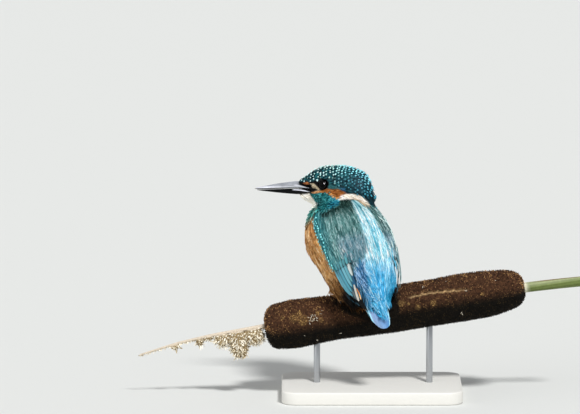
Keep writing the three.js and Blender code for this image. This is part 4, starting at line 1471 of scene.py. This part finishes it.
def tail_line(place):
    """A centreline for one tail feather, placed from -1 at the right edge to 1 at the left."""
    share = np.array(between(0, 1, WING_STEPS + 1))
    outer = abs(place)
    y = place * (TAIL_SPREAD[0] + (TAIL_SPREAD[1] - TAIL_SPREAD[0]) * share)
    y += TAIL_DRIFT[0] + (TAIL_DRIFT[1] - TAIL_DRIFT[0]) * share
    x = TAIL_ROOT + (TAIL_TIP + TAIL_SHORTER[place > 0] * outer ** 2.2 - TAIL_ROOT) * share
    z = TAIL_HEIGHT - TAIL_CAMBER * y * y + 0.75 * (1 - outer)
    return framed(world(np.stack([x, y, z], -1), BODY), axis(BODY, 2))


tail_places = sorted(between(-1, 1, TAIL_FEATHERS), key=lambda place: -abs(place))
tail_tones = varied(0.5, 0.15, TAIL_FEATHERS)[:, None]
leftness = np.clip(0.5 + 0.6 * np.array(tail_places), 0, 1)
tail_tint = blend(linear("#4a86bd"), linear("#8ba5c8"), leftness) * (0.84 + 0.34 * tail_tones)
tail_tint[np.abs(tail_places) > 0.99] = linear("#a5dcf0")
quills("tail_feathers", [tail_line(place) for place in tail_places], 3.5, tail_tint, "tail_feathers", "tail",
       thickness=0.9)


# %% [markdown]
# ## Bill, eyes and claws
# The bill is dark horn, glossy from use. Each half is drawn out from a ring through its
# sections, with a narrow ridge along the top, and the two are rounded into one shape by a fine
# remesh. A thin line stays open between the halves, as in the closed bill of the real bird.

# %% The two halves of the bill
UPPER_BILL = [(16, 6.9, 0.5, -0.6), (18.5, 6.3, 1.0, -0.5), (21, 5.3, 2.0, -0.5), (24, 3.9, 3.1, -0.5),
              (27, 3.1, 3.55, -0.55), (32, 2.65, 3.2, -0.65), (36, 2.3, 2.8, -0.7), (40, 1.95, 2.25, -0.75),
              (44, 1.5, 1.55, -0.8), (48, 1.1, 0.9, -0.85), (51, 0.75, 0.5, -0.8), (53.2, 0.4, 0.1, -0.6),
              (54.3, 0.1, -0.25, -0.45)]
LOWER_BILL = [(16, 6.7, -0.7, -2.6), (18.5, 6.1, -0.6, -3.5), (21, 5.0, -0.6, -4.1), (24, 3.6, -0.7, -4.45),
              (27, 2.8, -0.75, -4.4), (32, 2.4, -0.85, -3.95), (36, 2.1, -0.9, -3.5), (40, 1.8, -0.95, -3.05),
              (44, 1.4, -1.0, -2.5), (48, 1.0, -1.05, -1.95), (50.6, 0.6, -1.05, -1.6),
              (52.3, 0.15, -0.95, -1.2)]
RIDGE = [(23, 0.5, 3.6, 2.3), (27, 0.55, 3.9, 2.4), (32, 0.5, 3.45, 1.9), (40, 0.4, 2.5, 1.2),
         (48, 0.25, 1.1, 0.1), (51.5, 0.12, 0.55, -0.2)]
BASE_HIGHLIGHT_STREAKS = [([(17.9, -0.15), (24.2, 0.96), (27, 1.3)], 0.95),
                ([(17.9, -2.3), (20.3, -1.9), (24.2, -1.4), (28, -1.15)], 0.6)]
BILL_VOXEL, BILL_SIDES = 0.16, 16


def horn(name, roughness, gloss):
    """Dark horn with fine growth lines under a gloss."""
    return finish(name, roughness, grain(1500.0), "Cloud", (0.8, 1.25), "Grain", 0.25, 0.1, shine=1.3,
                  Specular_IOR_Level=gloss, Coat_Weight=gloss / 2, Coat_Roughness=0.12)


def placed_in(obj, matrix):
    """Carries an object modelled in millimetres at the origin into a local frame."""
    obj.matrix_world = matrix
    take(obj)
    apply_transform()
    return obj


def bill_half(name, *parts):
    """One shape from lofts through rows of (x, half width, top, bottom)."""
    sections = [[(x, 0, (top + low) / 2, wide, (top - low) / 2) for x, wide, top, low in rows]
                for rows in parts]
    lofts = [loft(name, stations, BILL_SIDES) for stations in sections]
    return placed_in(evened(joined(name, *lofts), BILL_VOXEL, 4, one_shell=False), HEAD)


def horn_colours_and_highlights(points):
    # Painted highlights: the upper half of the bill runs from grey to silver, with silver streaks near its
    # base, for the gloss of the horn. The grey is partly the horn's own colour, and the pale tip is its own
    # colour.
    hx, hy, hz = local(points, HEAD)
    above = hz - np.interp(hx, [16, 22, 54], [0.2, 0.0, -0.35])
    dark, grey_and_highlight, highlight_silver = linear("#060809"), linear("#94979e"), linear("#d8dae4")
    tint = blend(dark, grey_and_highlight, smooth(0.0, 0.5, above))
    tint = blend(tint, highlight_silver, smooth(0.1, 0.4, above) * smooth(1.5, 0.9, above))
    tint = blend(tint, linear("#d9d6cf"), smooth(52.6, 53.6, hx))
    tint = blend(tint, dark, smooth(26, 24, hx))
    for track, wide in BASE_HIGHLIGHT_STREAKS:
        off = np.abs(hz - line(hx, track))
        reach = smooth(17, 18.5, hx) * smooth(track[-1][0] + 2, track[-1][0], hx)
        width = wide * np.interp(hx, [18, 26], [0.4, 1])
        tint = blend(tint, highlight_silver, smooth(width, 0.4 * width, off) * reach)
    return tint


HORN, DULL_HORN = horn("horn", 0.24, 0.6), horn("dull_horn", 0.35, 0.08)
upper = bill_half("bill_top", UPPER_BILL, RIDGE)
lower = bill_half("bill_under", LOWER_BILL)
for obj, node, mat in ((upper, "bill_upper", HORN), (lower, "bill_lower", DULL_HORN)):
    paint(obj, horn_colours_and_highlights(mesh_points(obj)))
    finished(obj, mat, "bill_horn", node)


# %% [markdown]
# The eye is a dark wet ball: a deep brown iris, nearly black, round a black pupil, under a
# clear coat. A thin bare lid of dark skin rings it, and the feathers start outside the lid.

# %% Eyes and lids
EYE_RADIUS, IRIS = 3.3, 2.6
LID_RING, LID_THICK = 2.02, 0.32
GLINT, GLINT_PLACE = 0.66, (-1.0, 1.45)
EYE_RINGS = [(0.0, "#010101"), (0.42, "#010101"), (0.5, "#0a0503"), (0.85, "#050302"), (1.0, "#020202")]
LID_SKIN = new_material("lid_skin", 0.55, Specular_IOR_Level=0.15, Base_Color=rgba("#060708"))[0]


def eye_material(name, centre, glint):
    """Rings by distance from the eye's own axis, and one painted glint, under a clear coat."""
    mat, tree, shader = new_material(name, 0.5, Specular_IOR_Level=0.0, Coat_Weight=0.12,
                                     Coat_Roughness=0.03)
    place = add_node(tree, "ShaderNodeTexCoord")
    away, near = (add_node(tree, "ShaderNodeVectorMath", {1: spot}, operation="DISTANCE")
                  for spot in (centre, glint))
    scale = add_node(tree, "ShaderNodeMath", {1: 1 / (IRIS * MM)}, operation="MULTIPLY")
    rings = add_node(tree, "ShaderNodeValToRGB")
    stops = rings.color_ramp.elements
    while len(stops) < len(EYE_RINGS):
        stops.new(0.5)
    for stop, (position, code) in zip(stops, EYE_RINGS):
        stop.position, stop.color = position, rgba(code)
    inner = add_node(tree, "ShaderNodeMapRange", {1: GLINT * MM, 2: 0.8 * GLINT * MM})
    shine = add_node(tree, "ShaderNodeMix", data_type="RGBA")
    shine.inputs[7].default_value = rgba("#fdf6fb")
    wire(tree, (place, "Object", away, 0), (away, "Value", scale, 0), (scale, 0, rings, 0),
         (place, "Object", near, 0), (near, "Value", inner, 0), (inner, 0, shine, 0), (rings, 0, shine, 6),
         (shine, 2, shader, "Base Color"))
    return mat


for label, side in SIDES:
    ball = new_shape(bpy.ops.mesh.primitive_uv_sphere_add, f"eyeball_{label}", segments=48,
                     ring_count=24, radius=EYE_RADIUS)
    centre = Vector((EYE_PLACE.x, side * EYE_PLACE.y, EYE_PLACE.z))
    placed_in(ball, HEAD @ Matrix.Translation(centre))
    look = Vector((0.2, side, 0.12)).normalized()
    deep = side * math.sqrt(EYE_RADIUS ** 2 - GLINT_PLACE[0] ** 2 - GLINT_PLACE[1] ** 2)
    glint = HEAD @ (centre + Vector((GLINT_PLACE[0], deep, GLINT_PLACE[1])))
    front = HEAD @ (centre + look * EYE_RADIUS)
    finished(ball, eye_material(f"eye_{label}", front, glint), "eye", f"eye_{label}")
    lid = new_shape(bpy.ops.mesh.primitive_torus_add, f"lid_{label}", major_segments=40,
                    minor_segments=10, major_radius=LID_RING, minor_radius=LID_THICK)
    seat = centre + look * math.sqrt(EYE_RADIUS ** 2 - LID_RING ** 2)
    placed_in(lid, HEAD @ Matrix.Translation(seat) @ look.to_track_quat("Z", "X").to_matrix().to_4x4())
    finished(lid, LID_SKIN, "eye")

# %% Claws
CLAWS = [f"claw_{side}_{toe}" for side, _ in SIDES for toe in ("inner", "middle", "outer", "hind")]
claws = evened(merged_copy(CLAWS, "claws"), 0.12 * MM, 4, one_shell=False)
paint(claws, np.tile(linear("#2b211d"), (len(claws.data.vertices), 1)))
finished(claws, HORN, "claw_horn", *CLAWS)


# %% [markdown]
# ## The bulrush
# The seed head is a dense velvet of seeds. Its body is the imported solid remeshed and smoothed,
# with one shallow crease where the pile has parted. Thousands of small grains stand on it, each
# with its own brown, and here and there the pile has opened and shows golden down.

# %% The body of the seed head
CREASE = [(7, 33), (11, 34.5), (23, 36.5), (35, 33.5), (40, 32.5), (48, 30)]
SPIKE_DEEPEST, SPIKE_UNDER_PILE = 1.2, 0.3
SPIKE_ROUND = 14.4


def height_round(points):
    """Place along the seed head in mm, degrees round it, 0 in front and 90 on top, and mm above
    the crease."""
    x, y, z = local(points, PERCH)
    around = np.degrees(np.arctan2(z, -y))
    return x, around, (around - line(x, CREASE)) * 0.25


def crease_depth(points):
    """How deep the crease is, in mm: steep on its upper side, shallow on its lower side."""
    x, around, off = height_round(points)
    within = smooth(4, 10, x) * smooth(52, 42, x)
    return within * (0.9 * smooth(-2.6, -0.2, off) * smooth(0.45, 0.0, off))


spike = evened(merged_copy(["perch_seed_head"], "seed_head"), 0.6 * MM, 14)
draw_in(spike, crease_depth(mesh_points(spike)) + SPIKE_UNDER_PILE, SPIKE_DEEPEST)


# %% Its colours
GOLD = linear("#c79f62")
GOLD_PATCHES = [(-62.7, 23, 3.6), (-57.4, 15, 4.2), (-59.3, 31, 2.6), (-47.5, 26, 2.2), (-46.4, 8, 2.0),
                (4.4, 19, 2.8), (14.2, 3, 2.4), (23.9, 7, 2.6), (8.6, 15, 1.6), (55, 10, 1.6), (-70, 30, 1.8)]
SHADOW_LEFT = [(-20, -17.5), (0, -23.5), (15, -30.5), (30, -34), (45, -37)]


def gold_share(points, grow=1.0):
    """How far inside any of the (place, degrees, size) patches of golden down the points are."""
    x, around, off = height_round(points)
    share = np.zeros(len(points))
    for place, turn, size in GOLD_PATCHES:
        size = size * grow
        away = np.hypot(x - place, np.radians(around - turn) * SPIKE_ROUND)
        share = np.maximum(share, smooth(size, size / 1.6 - 0.6, away))
    return share


def velvet(points, tone):
    """Brown velvet with golden patches and a pale line at the crease, with painted shade nearly
    black underneath and a painted shadow of the bird."""
    x, around, off = height_round(points)
    # Painted shade underneath, and the bird's painted shadow beside its tail.
    under = 0.97 * smooth(14, -24, around - 8 * smooth(-30, 10, x))
    left = line(around, SHADOW_LEFT)
    shadow = 0.95 * smooth(left - 3, left + 2, x) * smooth(5.5, 1.5, x) * smooth(75, 55, around)
    colours = blend(shade("velvet", tone), shade("velvet_in_shade", tone), np.maximum(under, shadow))
    colours = blend(colours, GOLD, gold_share(points) * np.clip(tone * 1.6 - 0.35, 0, 1))
    uneven = off + 0.3 * np.sin(x * 1.3) + 0.15 * np.sin(x * 3.1)
    seam = smooth(1.1, 0.4, np.abs(uneven + 0.7)) * smooth(8, 12, x) * smooth(50, 36, x)
    return blend(colours, linear("#c9a777"), seam * np.clip(tone * 1.7, 0, 1))


def plant_finish(name, roughness, bump, scale, low, high):
    return finish(name, roughness, grain(scale), "Grain", (low, high), "Grain", bump, 0.5,
                  Specular_IOR_Level=0.15)


spike_points = mesh_points(spike)
paint(spike, velvet(spike_points, np.full(len(spike_points), 0.3)))
VELVET_BASE = plant_finish("seed_velvet", 0.95, 0.9, 750.0, 0.25, 1.9)
SEED = plant_finish("seed_grain", 0.9, 0.2, 2500.0, 0.8, 1.2)
finished(spike, VELVET_BASE, "seed_head", "perch_seed_head")

# %% Grains of the velvet
GRAIN_SHAPE = master("grain", [(0, 0, 0, 0.5, 0.5), (1, 0, 0, 0.3, 0.3)])
GRAIN_SIZE, GRAIN_ROOTED = 0.55, 0.2


def straight(starts, ways, outs, lengths, sag=0.0):
    """Centrelines that run straight from their starts, sinking by a share of their length."""
    share = np.linspace(0, 1, WALK_STEPS + 1)
    path = starts[:, None] + ways[:, None] * (share[None, :, None] * (lengths * MM)[:, None, None])
    path[..., 2] -= sag * (lengths * MM)[:, None] * share[None] ** 2
    out = np.repeat(outs[:, None], WALK_STEPS + 1, 1)
    return path, unit(np.cross(out, unit(np.gradient(path, axis=1)))), out


def random_ways(like, share=1.0):
    return share * unit(chance.normal(0, 1, like.shape))


spike_tree, spike_corners = surface_tree(spike), corners_of(spike)
grain_roots = strew(0.8, lambda points: crease_depth(points) < 0.4, spike_corners)
grain_roots, grain_out = settle(grain_roots, spike_tree)
grain_ways = unit(grain_out + random_ways(grain_out, 0.55))
grain_side = unit(np.cross(grain_ways, chance.normal(0, 1, grain_out.shape)))
clump_roots = strew(1.7, lambda points: np.ones(len(points), bool), spike_corners)
clump_tree = near_tree(clump_roots)
clump_tone = chance.normal(0, 0.3, len(clump_roots))
grain_clump = np.array([clump_tree.find(root)[1] for root in grain_roots])
grain_tones = np.clip(chance.normal(0.42, 0.26, len(grain_roots)) + clump_tone[grain_clump], 0, 1)
grain_lengths = varied(0.8, 0.15, len(grain_roots), 0.4, 1.2)
lay("seed_pile", GRAIN_SHAPE,
    straight(grain_roots - grain_out * GRAIN_ROOTED * MM, grain_ways, grain_side, grain_lengths),
    GRAIN_SIZE, GRAIN_SIZE, velvet(grain_roots, grain_tones), SEED, "seed_head")

# %% Loose golden down and pale specks on the seed head
down_roots = strew(0.8, lambda points: gold_share(points, 0.8) > 0.3, spike_corners)
down_roots, down_out = settle(down_roots, spike_tree)
down_ways = unit(down_out * 0.25 + random_ways(down_out, 0.8))
down_tone = varied(0.85, 0.35, len(down_roots), 0.2, 1.5)[:, None]
down_lengths = chance.uniform(1.0, 2.4, len(down_roots))
lay("seed_down", WISP, straight(down_roots, down_ways, down_out, down_lengths), 0.55, 0.8,
    np.clip(GOLD * down_tone, 0, 1), SEED, "seed_head")

SPECKS = [(-51, 20, 5), (-49.4, 12, 6), (-52.5, 14, 5), (-59.9, -25, 1), (-33, -38, 1), (35.4, 61, 3),
          (45.9, 26, 3), (40, -28, 2), (-54, 5, 3), (-44, 24, 3), (-50.9, -45, 2), (63, 40, 1), (20, 52, 2)]
speck_starts = []
for place, turn, number in SPECKS:
    for _ in range(number):
        x, angle = place + chance.normal(0, 0.9), math.radians(turn) + chance.normal(0, 0.05)
        speck_starts.append((x, -SPIKE_ROUND * 1.04 * math.cos(angle), SPIKE_ROUND * 1.04 * math.sin(angle)))
speck_roots, speck_out = settle(world(speck_starts, PERCH), spike_tree)
speck_ways = unit(speck_out * 0.3 + random_ways(speck_out))
speck_lengths = chance.uniform(0.9, 1.7, len(speck_roots))
lay("seed_specks", BLADE, straight(speck_roots + speck_out * 0.4 * MM, speck_ways, speck_out, speck_lengths),
    0.42, 0.8, linear("#efe6d2"), SEED, "seed_head")


# %% [markdown]
# The green stem is a tapering rod, its ridges painted as light and dark stripes. Beyond the seed
# head's other end runs the dry stalk of last season's pollen flowers, straw pale, with flakes and
# down still hanging under it.

# %% The stem
STEM_PATH = [(74, 0, 0.4), (88, 0, 0), (104, 0, -0.7), (119, 0, -1.6)]
STEM_RADIUS, STEM_RIDGES = 3.15, 11


def along_path(points, count):
    """Places at even steps along a line through points."""
    control = np.array(points, float)
    at, even = np.linspace(0, 1, len(control)), np.linspace(0, 1, count)
    return np.stack([np.interp(even, at, control[:, i]) for i in range(3)], -1)


stem_rows = [(x, y, z, STEM_RADIUS, STEM_RADIUS) for x, y, z in along_path(STEM_PATH, 14)]
stem_rows = [(*stem_rows[0][:3], 3.4, 3.4), *stem_rows[1:], (119.2, 0, -1.61, 2.7, 2.7)]
stem = placed_in(loft("stem", stem_rows, 36), PERCH)
apply_modifier(stem, "SUBSURF", levels=1, render_levels=1)
sx, sy, sz = local(mesh_points(stem), PERCH)
stem_turn = np.arctan2(sz, sy)
# Painted light and shade: the stem is lighter on top and darker below, and faint stripes round it paint the
# shade of ridges.
stem_tint = blend(linear("#6c7a42"), linear("#adb48a"), 0.75 * smooth(-0.2, 0.9, np.sin(stem_turn)))
stem_tint *= (0.9 + 0.12 * np.sin(stem_turn * STEM_RIDGES))[:, None]
scorched = smooth(0.93, 0.99, np.sin(stem_turn - 0.2)) * smooth(84, 96, sx)
stem_tint = blend(stem_tint, linear("#7d6444"), scorched)
paint(stem, blend(stem_tint, linear("#e8e4c8"), smooth(84.5, 82, sx)))
GREEN = plant_finish("green_stem", 0.5, 0.25, 500.0, 0.88, 1.12)
finished(stem, GREEN, "green_stem", "perch_stem", crease=50)

# %% The dry stalk
STALK_PATH = [(-75, 0, 1.7), (-92, -1, 1.4), (-115, -1.5, 1.1), (-138, -0.5, -0.7), (-161, 1, -4.4)]
STALK_LINE = [(-161, -4.4), (-138, -0.7), (-115, 1.1), (-92, 1.4), (-76, 1.7)]
STALK_TINT = np.array([0.86, 0.84, 0.9])


def under_stalk(points):
    """How far under the stalk's middle line a place is, in mm."""
    x, y, z = local(points, PERCH)
    return line(x, STALK_LINE) - z


dry = evened(merged_copy(["perch_dry_tip"], "dry_stalk"), 0.35 * MM, 8)
dx, dy, dz = local(mesh_points(dry), PERCH)
move_points(dry, world(np.stack([dx, dy, np.minimum(dz, line(dx, STALK_LINE) - 0.2)], -1), PERCH))
stalk_places = along_path(STALK_PATH, 16)
stalk_sizes = np.linspace(1.6, 0.55, len(stalk_places))
stalk_rows = [(*place, size, size) for place, size in zip(stalk_places, stalk_sizes)]
stalk = placed_in(loft("stalk", [*stalk_rows, (-162.6, 1.2, -4.9, 0.08, 0.08)], 12), PERCH)
dry = joined("dry_stalk", dry, stalk)
dry_points = mesh_points(dry)
dry_tint = shade("straw", np.full(len(dry_points), 0.56)) * STALK_TINT
paint(dry, blend(dry_tint, linear("#8f7b58"), smooth(0.1, 1.2, under_stalk(dry_points))))
DRY = plant_finish("dry_straw", 0.85, 0.4, 900.0, 0.8, 1.15)
finished(dry, DRY, "dry_straw", "perch_dry_tip")

# %% Flakes and down hanging under the stalk
flake_roots = strew(0.8, lambda points: under_stalk(points) > 0.3, corners_of(dry))
flake_roots, flake_out = settle(flake_roots, surface_tree(dry))
downward = np.array([0, 0, -1.0])
flake_ways = unit(flake_out * 0.5 + downward * 0.35 + random_ways(flake_out, 0.75))
loose = smooth(1.0, 4.0, under_stalk(flake_roots))
flake_lengths = 1.1 + chance.random(len(flake_roots)) * (0.9 + 1.5 * loose)
flake_tint = shade("straw", varied(0.76, 0.4, len(flake_roots)))
flake_widths = varied(0.95, 0.2, len(flake_roots), 0.5, 1.4)
flake_lines = straight(flake_roots - flake_ways * 0.3 * MM, flake_ways, flake_out, flake_lengths, 0.1)
lay("straw_flakes", BLADE, flake_lines, flake_widths, 0.7, flake_tint, DRY, "dry_straw")


# %% [markdown]
# ## The display stand
# A museum would fix the seed head on two short steel rods over a plain painted base. The base
# is a rounded plate with a small bevel all round; the rods are turned and brushed.

# %% Base and rods
BASE_LENGTH, BASE_WIDTH, BASE_HEIGHT, BASE_CORNER, BASE_BEVEL = 112, 76, 8, 10, 1.0
STAND_CREASE = 35


def stand_finish(name, roughness, grain_scale, stretch, bump, metallic):
    return finish(name, roughness, grain(grain_scale, stretch), "Cloud", (1, 1), "Grain", bump, 0.2,
                  shine=1.25, Metallic=metallic)


def stand_piece(obj, bevel, segments, colour, mat, slot, node):
    apply_modifier(obj, "BEVEL", width=bevel * MM, segments=segments, limit_method="ANGLE",
                   angle_limit=math.radians(50))
    paint(obj, np.tile(linear(colour), (len(obj.data.vertices), 1)))
    finished(obj, mat, slot, node, crease=STAND_CREASE)


base = new_shape(bpy.ops.mesh.primitive_plane_add, "base", size=1)
with editing():
    bpy.ops.transform.resize(value=(BASE_LENGTH * MM, BASE_WIDTH * MM, 1), center_override=(0, 0, 0))
    bpy.ops.mesh.bevel(offset=BASE_CORNER * MM, segments=10, affect="VERTICES")
    bpy.ops.mesh.extrude_region_move(TRANSFORM_OT_translate={"value": (0, 0, BASE_HEIGHT * MM)})
    bpy.ops.mesh.select_all(action="SELECT")
    bpy.ops.mesh.normals_make_consistent(inside=False)
SATIN = stand_finish("satin_paint", 0.5, 900.0, 1.0, 0.05, 0.0)
stand_piece(base, BASE_BEVEL, 3, "#e4e2dc", SATIN, "stand_base", "stand_base")
STEEL = stand_finish("brushed_steel", 0.32, 2500.0, 0.06, 0.1, 1.0)
for index in (1, 2):
    low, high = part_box(f"stand_rod_{index}")
    rod = new_shape(bpy.ops.mesh.primitive_cylinder_add, f"rod_{index}", vertices=48,
                    radius=(high.x - low.x) / 2, depth=high.z - low.z, location=(low + high) / 2)
    apply_transform()
    stand_piece(rod, 0.3, 2, "#b5b8bc", STEEL, "stand_rod", f"stand_rod_{index}")
base_low, base_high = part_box("stand_base")
print("base box:", [round(v / MM, 1) for v in (*base_low, *base_high)])
